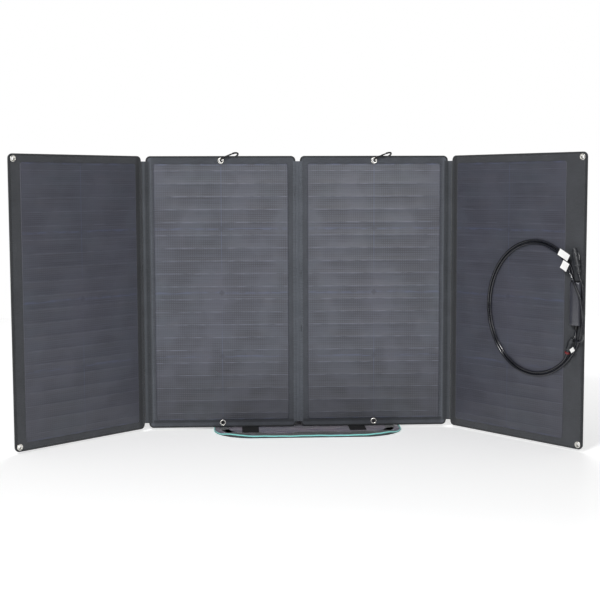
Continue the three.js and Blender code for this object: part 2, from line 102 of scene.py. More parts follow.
CASE_CORNER = 100
CASE_MIDDLE = (CASE_LEFT + CASE_RIGHT) / 2
LEAF_AXIS = (186, 3)
LEAF_LEAN = math.radians(15)
LEAF_FOOT = 6
LEAF_LENGTH = 672
LEAF_CORNER = 40
CABLE = 2.75

ROW = Matrix.Scale(MM, 4)


def wing_place(side, fold):
    hinge = Matrix.Translation((side * HINGE_X, VALLEY_AXIS_Y, 0))
    return ROW @ hinge @ Matrix.Rotation(-side * fold, 4, "Z") @ Matrix.Translation((0, -VALLEY_AXIS_Y, 0))


LEFT_WING = wing_place(-1, LEFT_FOLD)
RIGHT_WING = wing_place(1, RIGHT_FOLD)
LEAF = ROW @ Matrix.Translation((0, *LEAF_AXIS)) @ Matrix.Rotation(LEAF_LEAN, 4, "X")

# ---- Camera ----
FOCAL_LENGTH, SENSOR_WIDTH = 72.74, 36
CAMERA_PLACE = (-0.1539, -3.0314, 0.6042)
CAMERA_TURN = (84.755, 0.189, -3.0155)
lens = bpy.data.cameras.new("view")
lens.lens = FOCAL_LENGTH
lens.sensor_width = SENSOR_WIDTH
camera = bpy.data.objects.new("view", lens)
camera.location = CAMERA_PLACE
camera.rotation_euler = [math.radians(angle) for angle in CAMERA_TURN]
bpy.context.collection.objects.link(camera)
bpy.context.scene.camera = camera


# ---- Materials ----
def srgb(red, green, blue):
    """A linear colour from screen values of 0 to 255."""
    screen = (red, green, blue)
    return tuple(((c / 255 + 0.055) / 1.055) ** 2.4 if c > 10 else c / 3294.6 for c in screen) + (1,)


def toned(colour, factor, lift=0.0):
    """A lighter or darker colour: one factor for all its channels, or one for each."""
    factors = factor if isinstance(factor, tuple) else (factor,) * 3
    return tuple(min(1.0, c * k + lift) for c, k in zip(colour, factors)) + (1,)


class Look:
    """One procedural material. Its methods add nodes and return the output that is used."""

    def __init__(self, name, colour, roughness, **fixed):
        self.material = bpy.data.materials.new(name)
        self.material.use_nodes = True
        self.tree = self.material.node_tree
        self.shader = self.tree.nodes["Principled BSDF"]
        self.put("Base Color", colour)
        self.put("Roughness", roughness)
        for socket, value in fixed.items():
            self.put(socket.replace("_", " "), value)

    def put(self, socket, value, node=None):
        target = (node or self.shader).inputs[socket]
        if isinstance(value, bpy.types.NodeSocket):
            self.tree.links.new(value, target)
        else:
            target.default_value = value

    def node(self, kind, inputs, output=0, **settings):
        node = self.tree.nodes.new(kind)
        for key, value in settings.items():
            setattr(node, key, value)
        for socket, value in inputs.items():
            self.put(socket, value, node)
        return node.outputs[output]

    def coords(self, kind="Object", scale=(1, 1, 1)):
        source = self.node("ShaderNodeTexCoord", {}, kind)
        return self.node("ShaderNodeMapping", {"Vector": source, "Scale": scale})

    def parts(self, vector):
        node = self.tree.nodes.new("ShaderNodeSeparateXYZ")
        self.put(0, vector, node)
        return node.outputs[0], node.outputs[1], node.outputs[2]

    def math(self, operation, a, b=0.0):
        return self.node("ShaderNodeMath", {0: a, 1: b}, operation=operation)

    def add(self, a, b):
        return self.math("ADD", a, b)

    def times(self, a, b):
        return self.math("MULTIPLY", a, b)

    def fade(self, value, low, high):
        """1 at low and 0 at high, smooth between them."""
        return self.node(
            "ShaderNodeMapRange",
            {"Value": value, "From Min": low, "From Max": high, "To Min": 1.0, "To Max": 0.0},
            interpolation_type="SMOOTHSTEP",
        )

    def lines(self, value, pitch, width):
        """1 on lines of that width, one at each whole pitch."""
        away = self.math("PINGPONG", value, pitch / 2)
        return self.fade(away, width * 0.3, width * 0.7)

    def noise(self, vector, scale, detail=3.0, roughness=0.5):
        return self.node(
            "ShaderNodeTexNoise",
            {"Vector": vector, "Scale": scale, "Detail": detail, "Roughness": roughness},
        )

    def stretched(self, scale, detail, roughness=0.5, kind="UV"):
        """Noise with a scale of its own along each axis."""
        return self.noise(self.coords(kind, scale), 1.0, detail, roughness)

    def ramp(self, value, low, high, from_low=0.3, from_high=0.7):
        return self.node(
            "ShaderNodeMapRange",
            {"Value": value, "From Min": from_low, "From Max": from_high, "To Min": low, "To Max": high},
        )

    def blend(self, factor, a, b, mode="MIX"):
        node = self.tree.nodes.new("ShaderNodeMix")
        node.data_type = "RGBA"
        node.blend_type = mode
        self.put(0, factor, node)
        self.put(6, a, node)
        self.put(7, b, node)
        return node.outputs[2]

    def bump(self, height, distance, strength=1.0, below=None):
        node = self.tree.nodes.new("ShaderNodeBump")
        self.put("Height", height, node)
        self.put("Strength", strength, node)
        self.put("Distance", distance, node)
        if below is not None:
            self.put("Normal", below, node)
        self.put("Normal", node.outputs[0])
        return node.outputs[0]


def weave(look, across, up, pitch):
    """A plain weave's height from two coordinates in metres: threads cross over and under each other."""
    one = look.math("SINE", look.times(across, math.tau / pitch))
    two = look.math("SINE", look.times(up, math.tau / pitch))
    return look.times(look.times(one, two), 0.5)


def cloth_look(name, colour, pitch, coords="UV", rough=0.82, ribs=0.5, dark=()):
    """A woven cloth: threads, slubs along the threads, and slow changes of shade. Along the lines of dark:
    (axis, place, half width, depth) it gets painted shade where a seam or crease would be shaded, and
    painted highlight where depth is negative."""
    look = Look(name, colour, rough, Sheen_Weight=0.25, Sheen_Roughness=0.45, Specular_IOR_Level=0.3)
    place = look.coords(coords)
    across, up, _ = look.parts(place)
    slubs = look.stretched((60, 900, 60), 2.0, kind=coords)
    patches = look.noise(place, 14.0, 4.0)
    shade = look.add(look.ramp(slubs, -0.2, 0.2), look.ramp(patches, -0.12, 0.12))
    bright = look.add(shade, 1.0)
    grid = weave(look, across, up, pitch)
    rows = look.lines(up, pitch * 2, pitch * 0.7)
    bright = look.add(bright, look.times(rows, -ribs * 0.3))
    # Painted shade along each line of dark, and painted highlight where its depth is negative.
    for axis, place_at, half, depth in dark:
        line = look.math("ABSOLUTE", (across, up)[axis])
        away = look.math("ABSOLUTE", look.math("SUBTRACT", line, place_at))
        painted_light_and_shade = look.times(look.fade(away, half * 0.2, half), -depth)
        bright = look.times(bright, look.add(painted_light_and_shade, 1.0))
    grey = look.node("ShaderNodeCombineColor", {0: bright, 1: bright, 2: bright})
    look.put("Base Color", look.blend(1.0, colour, grey, "MULTIPLY"))
    look.put("Roughness", look.ramp(slubs, rough - 0.08, rough + 0.08))
    wrinkles = look.bump(patches, 0.004, 0.25)
    look.bump(look.add(grid, slubs), 0.0004, 0.6, wrinkles)
    return look.material


# The film's patterns, in metres: the pitch and the width of each kind of line.
FINGERS = (0.0054, 0.0026)
THREADS = (0.0046, 0.0024)
FINE_THREADS = (0.0018, 0.0006)
BUSBAR_WIDTH = 0.0022
EMBOSS_PITCH = 0.0016


def film_look(name, tint, haze, painted_foot_shade, bars, grid):
    """The laminate: solar cells under an embossed film. UV runs in metres from its lower inner corner.
    The tint goes over to the haze in patches and darkens to painted_foot_shade at the lower edge, a painted
    shade for the light that falls off towards the foot; bars and grid are how strongly the busbars and the
    fine lines show."""
    look = Look(name, tint, 0.42, Coat_Weight=0.35, Coat_Roughness=0.28, Specular_IOR_Level=0.45)
    place = look.coords("UV")
    across, up, _ = look.parts(place)
    away = look.math("ABSOLUTE", look.math("SUBTRACT", across, CELL_WIDTH * MM))
    seam = look.fade(away, 0.0005, 0.0022)
    near_row = look.math("PINGPONG", up, CELL_HEIGHT * MM / 2)
    diamond = look.fade(look.add(away, near_row), DIAMOND * MM * 0.7, DIAMOND * MM * 1.15)
    busbar = look.lines(look.math("SUBTRACT", up, BUSBAR_PITCH * MM / 2), BUSBAR_PITCH * MM, BUSBAR_WIDTH)
    fingers = look.lines(across, *FINGERS)
    threads = look.lines(up, *THREADS)
    fine = look.lines(across, *FINE_THREADS)
    half_width = LAMINATE_WIDTH * MM / 2
    from_middle = look.math("ABSOLUTE", look.math("SUBTRACT", across, half_width))
    rim = look.math("SUBTRACT", half_width, from_middle)
    margin = look.fade(rim, 0.001, 0.003)

    strips = look.stretched((9, 26, 1), 3.0, 0.6)
    hues = look.stretched((7, 5, 1), 2.0)
    streaks = look.stretched((7, 420, 1), 2.0)
    dashes = look.stretched((30, 190, 1), 3.0, 0.6)
    crossings = look.stretched((13, 11, 1), 2.0)
    speckle = look.stretched((420, 300, 1), 2.0)

    brown = toned(tint, (1.12, 1.02, 0.9))
    blue = toned(tint, (1.12, 1.25, 1.55))
    colour = look.blend(look.ramp(hues, 0.0, 1.0, 0.35, 0.65), tint, haze)
    colour = look.blend(look.ramp(strips, 0.0, 0.55, 0.5, 0.72), colour, brown)
    amount = look.ramp(crossings, 0.2, 1.0, 0.4, 0.62)
    colour = look.blend(look.times(fingers, amount), colour, toned(tint, 1 - 0.58 * grid))
    colour = look.blend(look.times(threads, amount), colour, toned(tint, 1 - 0.66 * grid))
    colour = look.blend(look.times(fine, 0.3), colour, toned(tint, 1.25))
    colour = look.blend(look.ramp(streaks, 0.0, 0.5, 0.42, 0.75), colour, toned(tint, 1.3))
    colour = look.blend(look.ramp(speckle, 0.0, 0.35, 0.4, 0.8), colour, toned(tint, 0.75))
    light = toned(tint, 1 + bars, 0.012 * bars)
    worn = look.ramp(dashes, 0.05, 0.9, 0.4, 0.62)
    colour = look.blend(look.times(busbar, worn), colour, light)
    colour = look.blend(look.times(seam, look.ramp(hues, 0.0, 0.6)), colour, blue)
    joint = look.fade(near_row, 0.001, 0.004)
    broken = look.ramp(dashes, 0.0, 0.7, 0.42, 0.6)
    colour = look.blend(look.times(joint, broken), colour, blue)
    colour = look.blend(look.times(diamond, 0.5 * grid), colour, toned(tint, 0.45))
    colour = look.blend(look.times(margin, 0.4), colour, toned(tint, 0.75))
    # Painted shade: darker over the lowest 0.17 m, where less light falls.
    foot = look.ramp(up, painted_foot_shade, 1.0, 0.0, 0.17)
    grey = look.node("ShaderNodeCombineColor", {0: foot, 1: foot, 2: foot})
    look.put("Base Color", look.blend(1.0, colour, grey, "MULTIPLY"))
    look.put("Roughness", look.ramp(streaks, 0.36, 0.5))
    slow = look.bump(look.stretched((8, 12, 1), 2.0), 0.01, 0.12)
    emboss = weave(look, across, up, EMBOSS_PITCH)
    ridge = look.add(emboss, look.times(busbar, 0.8))
    look.bump(ridge, 0.00025, 0.5, slow)
    return look.material


def moulded_look(name, colour, rough, grain=0.00008, metallic=0.0, coat=0.0, gloss=0.5):
    """Moulded plastic, paint or metal: fine grain, faint scuffs and uneven gloss."""
    shine = {"Metallic": metallic, "Coat_Weight": coat, "Coat_Roughness": 0.08, "Specular_IOR_Level": gloss}
    look = Look(name, colour, rough, **shine)
    place = look.coords()
    fine = look.noise(place, 900.0, 2.0)
    slow = look.noise(place, 45.0, 4.0)
    scuffs = look.stretched((500, 90, 60), 4.0, 0.7, kind="Object")
    dusty = toned(colour, 1.4, 0.001)
    look.put("Base Color", look.blend(look.ramp(slow, 0.0, 0.4), colour, dusty))
    look.put("Roughness", look.ramp(scuffs, rough - 0.04, rough + 0.1))
    look.bump(fine, grain, 0.6)
    return look.material


def webbing_look(name, colour):
    """Woven tape: a herringbone of coarse yarns with soft sheen."""
    look = Look(name, colour, 0.7, Sheen_Weight=0.4, Sheen_Roughness=0.4)
    pitch, herringbone = 0.0016, 0.0035
    place = look.coords("UV")
    across, up, _ = look.parts(place)
    zigzag = look.math("PINGPONG", across, herringbone)
    slant = look.add(up, zigzag)
    yarn = look.lines(slant, pitch, pitch * 0.6)
    fuzz = look.noise(place, 1500.0, 2.0)
    light = toned(colour, 1.9, 0.006)
    look.put("Base Color", look.blend(look.times(yarn, 0.6), colour, light))
    rough = look.bump(fuzz, 0.0002, 0.4)
    look.bump(yarn, 0.0003, 0.8, rough)
    return look.material


def satin_look(name, colour):
    """The case's lining: thin nylon satin, creased, with painted shade in its folds and a soft shine across
    its threads.
    """
    look = Look(name, colour, 0.42, Sheen_Weight=0.5, Sheen_Roughness=0.3, Specular_IOR_Level=0.6)
    place = look.coords()
    across, up, _ = look.parts(place)
    creases = look.stretched((26, 60, 26), 5.0, 0.6, kind="Object")
    tone = look.noise(place, 17.0, 3.0)
    warm = toned(colour, (1.25, 1.05, 1.1))
    cool = toned(colour, (0.72, 0.8, 0.9))
    shaded = look.blend(look.ramp(tone, 0.0, 1.0, 0.35, 0.65), cool, warm)
    # Painted shade: the colour darkens towards half along stretched noise, for the shade in the satin's
    # folds.
    painted_fold_shade = look.stretched((9, 34, 9), 3.0, 0.55, kind="Object")
    dark = toned(colour, 0.5)
    look.put("Base Color", look.blend(look.ramp(painted_fold_shade, 0.0, 0.75, 0.5, 0.62), shaded, dark))
    look.put("Roughness", look.ramp(creases, 0.34, 0.55))
    soft = look.bump(creases, 0.006, 0.5)
    look.bump(weave(look, across, up, 0.0007), 0.0001, 0.4, soft)
    return look.material


def cord_look(name, colour, rough=0.6, pitch=0.0022):
    """Round cord or piping: yarn that winds round it."""
    look = Look(name, colour, rough, Sheen_Weight=0.3)
    place = look.coords()
    across, up, high = look.parts(place)
    slant = look.add(look.add(across, look.times(up, 1.3)), high)
    yarn = look.lines(slant, pitch, pitch * 0.5)
    pale = toned(colour, 1.3, 0.02)
    look.put("Base Color", look.blend(look.times(yarn, 0.5), colour, pale))
    look.bump(yarn, 0.0003, 0.7)
    return look.material


# The same laminate twice. The wings' copy, with its darker tint and fainter busbars and lines, is painted
# shade for the wings turned from the light; both darken towards the foot as painted shade.
MIDDLE_FILM = film_look("film_middle", srgb(76, 78, 90), srgb(72, 79, 88), 0.6, 0.55, 1.0)
WING_FILM_PAINTED_SHADE = film_look("film_wing_painted_shade", srgb(70, 71, 82), srgb(66, 72, 81), 0.82, 0.22, 0.6)
# Painted shade and painted highlight on the cloth: darker lines where seams and creases would be shaded,
# lighter where the depth is negative, where a ridge beside a hinge would catch the light; as (axis, place,
# half width, depth) with places in metres.
# Painted highlight on the ridges beside the outer hinges, and painted shadow just below the laminate's
# lower edge.
BORDER_PAINTED_LIGHT_AND_SHADE = ((0, 0.367, 0.006, -0.25), (0, 0.373, 0.018, -0.25), (1, 0.0205, 0.006, 0.45))
BORDER = cloth_look("border_cloth", srgb(73, 76, 82), 0.0012, dark=BORDER_PAINTED_LIGHT_AND_SHADE)
# Painted shade in the valley hinges' crease.
VALLEY_CREASE_PAINTED_SHADE = ((0, 0.0, 0.016, 0.25), (0, 0.009, 0.009, 0.5))
# Painted shade on the wings' cloth beside the hinge crease.
WING_CREASE_PAINTED_SHADE = ((0, 0.016, 0.010, 0.45),)
# The wings' border cloth: a darker copy of the middle panels' cloth, as painted shade for the wings turned
# from the light.
WING_BORDER_PAINTED_SHADE = cloth_look("wing_border_cloth_painted_shade", srgb(64, 66, 70), 0.0012, dark=WING_CREASE_PAINTED_SHADE)
BACK = cloth_look("back_cloth", srgb(62, 66, 68), 0.0016, rough=0.9, ribs=0.9)
BINDING = cloth_look("binding_cloth", srgb(44, 46, 49), 0.0009)
HINGE = cloth_look("hinge_cloth", srgb(86, 90, 97), 0.0010)
VALLEY_HINGE = cloth_look("valley_hinge_cloth", srgb(88, 92, 98), 0.0010, dark=VALLEY_CREASE_PAINTED_SHADE)
COVER = cloth_look("cover_cloth", srgb(66, 70, 72), 0.0016, coords="Object", rough=0.9)
THREAD = cord_look("sewing_thread", srgb(60, 63, 64), 0.7, 0.0008)
RIBBON = moulded_look("bus_ribbon", srgb(205, 170, 140), 0.35, metallic=1.0)
NICKEL = moulded_look("nickel_plate", srgb(214, 212, 206), 0.22, 0.00003, metallic=1.0)
BLACK_METAL = moulded_look("black_metal", srgb(14, 14, 16), 0.33, 0.00005, metallic=0.6, coat=0.3)
WEBBING = webbing_look("black_webbing", srgb(30, 31, 33))
PAD = moulded_look("pad_cloth", srgb(16, 17, 19), 0.85, 0.0003)
LINING = satin_look("satin_lining", srgb(104, 101, 116))
TEAL = cord_look("teal_piping", srgb(128, 208, 202))
TEAL_TAPE = cloth_look("teal_tape", srgb(64, 160, 152), 0.0008)
BLACK_PLASTIC = moulded_look("black_plastic", srgb(14, 14, 17), 0.26, coat=0.1, gloss=0.35)
GRAY_PLASTIC = moulded_look("gray_plastic", srgb(58, 59, 66), 0.2, coat=0.5)
PLUG_PLASTIC = moulded_look("plug_plastic", srgb(38, 40, 44), 0.3, coat=0.3)
RED_PLASTIC = moulded_look("red_plastic", srgb(96, 18, 24), 0.35)
CABLE_SKIN = moulded_look("cable_sheath", srgb(8, 10, 20), 0.14, 0.00003, coat=0.5, gloss=0.5)
PAPER = moulded_look("paper_tag", srgb(238, 238, 236), 0.6, 0.00005)


# ---- Mesh builders ----
def add_piece(name, bm, place, material, slot, body=None, replaces=(), sharp=38):
    """Turns a bmesh into a piece of the scene, parents it to its CAD body and hides the CAD nodes it
    replaces.
    """
    bmesh.ops.recalc_face_normals(bm, faces=bm.faces)
    bm.transform(place)
    mesh = bpy.data.meshes.new(name)
    bm.to_mesh(mesh)
    bm.free()
    mesh.shade_smooth()
    mesh.set_sharp_from_angle(angle=math.radians(sharp))
    mesh.materials.append(material)
    piece = bpy.data.objects.new(name, mesh)
    bpy.context.collection.objects.link(piece)
    if body:
        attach(piece, body)
    if replaces:
        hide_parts(*replaces)
    return piece


def arc(x, z, radius, start, turn=0.5, steps=8):
    """Points along a circle. It starts at start and goes round by turn, both in half circles."""
    turns = [math.pi * (start + turn * step / steps) for step in range(steps + 1)]
    return [(x + radius * math.cos(t), z + radius * math.sin(t)) for t in turns]


def rounded(left, bottom, right, top, radius, outside=False):
    """A rounded rectangle as a function of its inset: how far its edge moves into the material."""

    def outline(inset):
        grow = inset if outside else -inset
        r = max(radius + grow, 0.2)
        corners = [
            (right + grow - r, bottom - grow + r, -0.5),
            (right + grow - r, top + grow - r, 0.0),
            (left - grow + r, top + grow - r, 0.5),
            (left - grow + r, bottom - grow + r, 1.0),
        ]
        return [point for x, z, start in corners for point in arc(x, z, r, start)]

    return outline


def hole(x, z, radius, sides=28):
    """A round hole's edge as a function of its inset."""
    return lambda inset: arc(x, z, radius + inset, 0, 2, sides)[:-1]


def loft(bm, rings, closed=True, caps=False):
    """Joins successive rings of vertices with quads. With caps, the first and last ring become faces."""
    for near, far in zip(rings, rings[1:]):
        count = len(near)
        for i in range(count if closed else count - 1):
            j = (i + 1) % count
            bm.faces.new((near[i], near[j], far[j], far[i]))
    for ring in (rings[0], rings[-1]) if caps else ():
        bm.faces.new(ring)


def plate(boundaries, profile, cuts_x=(), cuts_z=(), wave=None):
    """A flat sheet with rounded edges. The profile is (inset, y) from its front face round to its back."""
    bm = bmesh.new()
    front, back = [], []
    for boundary in boundaries:
        rings = [[bm.verts.new((x, y, z)) for x, z in boundary(inset)] for inset, y in profile]
        loft(bm, rings)
        for face, ring in ((front, rings[0]), (back, rings[-1])):
            face.extend(bm.edges.get(pair) for pair in zip(ring, ring[1:] + ring[:1]))
    for edges, look in ((front, -1), (back, 1)):
        bmesh.ops.triangle_fill(bm, edges=edges, use_beauty=True, normal=(0, look, 0))
    for values, normal in ((cuts_x, (1, 0, 0)), (cuts_z, (0, 0, 1))):
        for value in values:
            spot = [value * part for part in normal]
            everything = bm.verts[:] + bm.edges[:] + bm.faces[:]
            bmesh.ops.bisect_plane(bm, geom=everything, dist=1e-4, plane_co=spot, plane_no=normal)
    if wave:
        for vertex in bm.verts:
            vertex.co.y += wave(vertex.co)
    return bm


def in_metres(p):
    return p.x * MM, p.z * MM


def set_uv(bm, function=in_metres):
    """Lays the texture by a function of a point, or flat on the front."""
    layer = bm.loops.layers.uv.verify()
    for face in bm.faces:
        for corner in face.loops:
            corner[layer].uv = function(corner.vert.co)
    return bm


def smooth_path(points, step):
    """A centripetal Catmull-Rom curve through the points, sampled about every step."""
    points = [Vector(p) for p in points]
    ends = [2 * points[0] - points[1]] + points + [2 * points[-1] - points[-2]]
    path = []
    for a, b, c, d in zip(ends, ends[1:], ends[2:], ends[3:]):
        t1 = max((b - a).length, 1e-6) ** 0.5
        t2 = t1 + max((c - b).length, 1e-6) ** 0.5
        t3 = t2 + max((d - c).length, 1e-6) ** 0.5
        count = max(1, round((c - b).length / step))
        for i in range(count):
            t = t1 + (t2 - t1) * i / count
            e = a.lerp(b, t / t1)
            f = b.lerp(c, (t - t1) / (t2 - t1))
            g = c.lerp(d, (t - t2) / (t3 - t2))
            path.append(e.lerp(f, t / t2).lerp(f.lerp(g, (t - t1) / (t3 - t1)), (t - t1) / (t2 - t1)))
    return path + [points[-1]]


def frames(path):
    """Directions along a path and a side direction that doesn't twist."""
    befores, afters = path[:1] + path[:-1], path[1:] + path[-1:]
    along = [(after - before).normalized() for before, after in zip(befores, afters)]
    side = along[0].orthogonal().normalized()
    result = []
    for direction in along:
        side = (side - direction * side.dot(direction)).normalized()
        result.append((direction, side, direction.cross(side)))
    return result


def sweep(bm, path, radius, sides):
    """A round bar along a path. The radius is a number or a function of the share of the way."""
    path = [Vector(p) for p in path]
    size = radius if callable(radius) else lambda share: radius
    rings = []
    for i, (point, (_, one, two)) in enumerate(zip(path, frames(path))):
        r = size(i / (len(path) - 1))
        circle = arc(0, 0, 1, 0, 2, sides)[:-1]
        rings.append([bm.verts.new(point + r * (one * x + two * y)) for x, y in circle])
    loft(bm, rings, caps=True)
    return bm


def tape(bm, path, widthwise, half_width, thickness):
    """A flat band along a path: widthwise is the direction of its width at each point."""
    path = [Vector(p) for p in path]
    rings = []
    for point, (direction, _, _) in zip(path, frames(path)):
        wide = Vector(widthwise)
        wide = (wide - direction * wide.dot(direction)).normalized()
        thick = direction.cross(wide)
        h, t = half_width, thickness / 2
        corners = [(-h, -t * 0.4), (-h + t, -t), (h - t, -t), (h, -t * 0.4), (h, t * 0.4)]
        corners += [(h - t, t), (-h + t, t), (-h, t * 0.4)]
        rings.append([bm.verts.new(point + wide * a + thick * b) for a, b in corners])
    loft(bm, rings, caps=True)
    return bm


def turned(bm, profile, centre, axis, sides=32):
    """A lathe piece: the profile is (radius, distance along the axis)."""
    axis = Vector(axis).normalized()
    one = axis.orthogonal().normalized()
    two = axis.cross(one)
    rings = []
    for radius, distance in profile:
        middle = Vector(centre) + axis * distance
        if radius < 1e-6:
            rings.append([bm.verts.new(middle)])
            continue
        circle = arc(0, 0, 1, 0, 2, sides)[:-1]
        rings.append([bm.verts.new(middle + radius * (one * x + two * y)) for x, y in circle])
    for near, far in zip(rings, rings[1:]):
        for i in range(sides):
            j = (i + 1) % sides
            corners = [near[i % len(near)], near[j % len(near)], far[j % len(far)], far[i % len(far)]]
            corners = list(dict.fromkeys(corners))
            if len(corners) > 2:
                bm.faces.new(corners)
    return bm


def stitches(bm, path, pitch=4.0, length=2.7, radius=0.28):
    """A row of sewing stitches: short thread humps laid end to end along a path."""
    path = [Vector(p) for p in path]
    gone, target = 0.0, pitch / 2
    for a, b in zip(path, path[1:]):
        span = (b - a).length
        if span < 1e-6:
            continue
        direction = (b - a) / span
        side = direction.orthogonal().normalized()
        other = direction.cross(side)
        while target <= gone + span:
            middle = a + direction * (target - gone)
            tips = [bm.verts.new(middle + direction * length * end / 2) for end in (-1, 1)]
            rings = []
            for end in (-0.28, 0.28):
                heart = middle + direction * length * end
                round_it = [side * x + other * y for x, y in arc(0, 0, 1, 0, 2, 5)[:-1]]
                rings.append([bm.verts.new(heart + radius * way) for way in round_it])
            loft(bm, rings)
            for tip, ring in zip(tips, rings):
                for i in range(5):
                    bm.faces.new((tip, ring[i], ring[(i + 1) % 5]))
            target += pitch
        gone += span
    return bm


def soft_step(value, low=0.0, high=1.0):
    share = min(max((value - low) / (high - low), 0.0), 1.0)
    return share * share * (3 - 2 * share)


def unevenness(size, amount, seed):
    """Slow bulges of cloth: a function of a point that gives a small offset."""
    return lambda p: amount * noise.noise(Vector((p.x / size, p.z / size, seed)))


def span(low, high, step):
    count = max(1, round((high - low) / step))
    return [low + (high - low) * i / count for i in range(count + 1)]


# ---- Leads: their routes repeat the CAD's ----
# The loop's middle and half sizes on the wing, the cable's depth there, and each plug as its cable end,
# its nose and its radius.
COIL_ALONG, COIL_UP, COIL_HALF_WIDTH, COIL_HALF_HEIGHT = 274, 323, 139, 156
CABLE_REST = -7.4
UPPER_PLUG = (Vector((402.9, -12.7, 412.6)), Vector((390, -13, 467)), 8.4)
LOWER_PLUG = (Vector((371.8, -10.5, 223.2)), Vector((386.5, -10.6, 262)), 6.4)
UPPER_GLAND = Vector((383, CABLE_REST, 401.8))
LOWER_GLAND = Vector((394.4, CABLE_REST, 280.2))


def loop_arc(start, end, grow):
    """Points round the leads' common loop, from one angle to another in degrees."""
    points = []
    for turn in range(start, end + 1, 15):
        angle = math.radians(turn)
        along = COIL_ALONG + (COIL_HALF_WIDTH + grow) * math.cos(angle)
        points.append((along, CABLE_REST, COIL_UP + (COIL_HALF_HEIGHT + grow) * math.sin(angle)))
    return points


def behind(plug, distance):
    """A point that far behind the plug's cable end, on its axis."""
    return plug[0] - (plug[1] - plug[0]).normalized() * distance


upper_route = [UPPER_GLAND, UPPER_GLAND + Vector((0, 0, 6)), UPPER_GLAND + Vector((-3, 0, 16))]
upper_route += loop_arc(50, 335, 3.2)
upper_route += [(412.2, CABLE_REST, 300), (413, CABLE_REST, 350), (411.4, -9.2, 386)]
upper_route += [behind(UPPER_PLUG, 8), behind(UPPER_PLUG, 0.5)]
lower_route = [LOWER_GLAND, (394.4, -7.9, 275.7), (394.5, -10.2, 267.8), (396.1, -12.0, 261.3)]
lower_route += [(400.5, -13.3, 256.7), (406.6, -14.0, 255.0), (412.7, -14.3, 256.7), (417.2, -14.4, 261.3)]
lower_route += [(418.8, -14.3, 267.8), (418.4, -14, 284), (417.4, -14, 305), (413.5, -18, 350)]
lower_route += [(397, -21.5, 390), (376.4, -18, 422), (350, -12, 450.5)]
lower_route += loop_arc(80, 305, -3.6)
lower_route += [behind(LOWER_PLUG, 9), behind(LOWER_PLUG, 0.5)]


def plug_piece(name, plug, ring=None):
    """A cable plug: strain relief, knurled nut, ribbed body and a stepped nose."""
    start, end, radius = plug
    axis = (end - start).normalized()
    length = (end - start).length
    bm = bmesh.new()
    outline = [(0, 0), (0.5, 0), (0.56, 0.01), (0.6, 0.05), (0.76, 0.07), (0.8, 0.09)]
    for i in range(6):
        foot = 0.1 + 0.028 * i
        outline += [(0.8, foot), (0.8, foot + 0.012), (0.74, foot + 0.016), (0.74, foot + 0.024)]
    outline += [(0.8, 0.27), (0.94, 0.29), (1.0, 0.31)]
    for i in range(9):
        foot = 0.34 + 0.036 * i
        outline += [(1.0, foot), (1.0, foot + 0.016), (0.92, foot + 0.02), (0.92, foot + 0.032)]
    outline += [(0.98, 0.68), (0.84, 0.7), (0.84, 0.76), (0.93, 0.775), (0.94, 0.85), (0.88, 0.87)]
    outline += [(0.7, 0.88), (0.7, 0.985), (0.66, 1.0), (0.5, 1.0), (0.5, 0.93), (0, 0.93)]
    turned(bm, [(r * radius, share * length) for r, share in outline], start, axis, 28)
    for wing in (-1, 1):
        side = axis.cross(Vector((0, 1, 0))).normalized() * wing
        latch = ((0.98, 0.5), (1.12, 0.7), (0.98, 0.83))
        clip = [start + side * radius * r + axis * length * share for r, share in latch]
        sweep(bm, smooth_path(clip, 1.5), radius * 0.14, 6)
    on_wing = (RIGHT_WING, PLUG_PLASTIC, "black_plastic", "right_wing_panel")
    piece = add_piece(name + "_body", bm, *on_wing, (name,), 30)
    if ring:
        bm = bmesh.new()
        band = [(0.8, 0.04), (0.92, 0.045), (0.96, 0.08), (0.96, 0.13), (0.92, 0.165), (0.8, 0.17)]
        turned(bm, [(r * radius, share * length) for r, share in band], start, axis, 28)
        add_piece(ring, bm, RIGHT_WING, RED_PLASTIC, "black_plastic", "right_wing_panel")
    return piece


def paper_tag(name, centre, turn, width, height, curl):
    """A paper tag folded round its lead: a thin curled sheet with a slightly open lip."""
    bm = bmesh.new()
    turning = Matrix.Translation(Vector(centre)) @ Matrix.Rotation(math.radians(turn), 4, "Y")
    rows = []
    for face in (-0.14, 0.14):
        for z in span(-height / 2, height / 2, 2):
            row = []
            for x in span(-width / 2, width / 2, 2):
                bow = curl * ((2 * x / width) ** 2 - 0.4) + 0.25 * curl * math.sin(z * 0.35 + x * 0.2)
                row.append(bm.verts.new(turning @ Vector((x, face - bow * 0.6, z))))
            rows.append(row)
    half = len(rows) // 2
    near, far = rows[:half], rows[half:]
    loft(bm, near, closed=False)
    loft(bm, far, closed=False)

    def rim(grid):
        up, down = [row[-1] for row in grid[1:]], [row[0] for row in grid[-2:0:-1]]
        return grid[0] + up + grid[-1][-2::-1] + down

    loft(bm, [rim(near), rim(far)])
    return add_piece(name + "_tag", bm, RIGHT_WING, PAPER, "label", "right_wing_panel", (name,))


def lead(name, route):
    """A cable along its route."""
    path = smooth_path(route, 6)
    line = bpy.data.curves.new(name + "_cable", "CURVE")
    line.dimensions = "3D"
    line.bevel_depth = CABLE * MM
    line.bevel_resolution = 5
    line.use_fill_caps = True
    strand = line.splines.new("POLY")
    strand.points.add(len(path) - 1)
    places = [RIGHT_WING @ point for point in path]
    for point, place in zip(strand.points, places):
        point.co = (*place, 1)
    line.materials.append(CABLE_SKIN)
    piece = bpy.data.objects.new(name + "_cable", line)
    bpy.context.collection.objects.link(piece)
    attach(piece, "right_wing_panel")
    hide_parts(name)


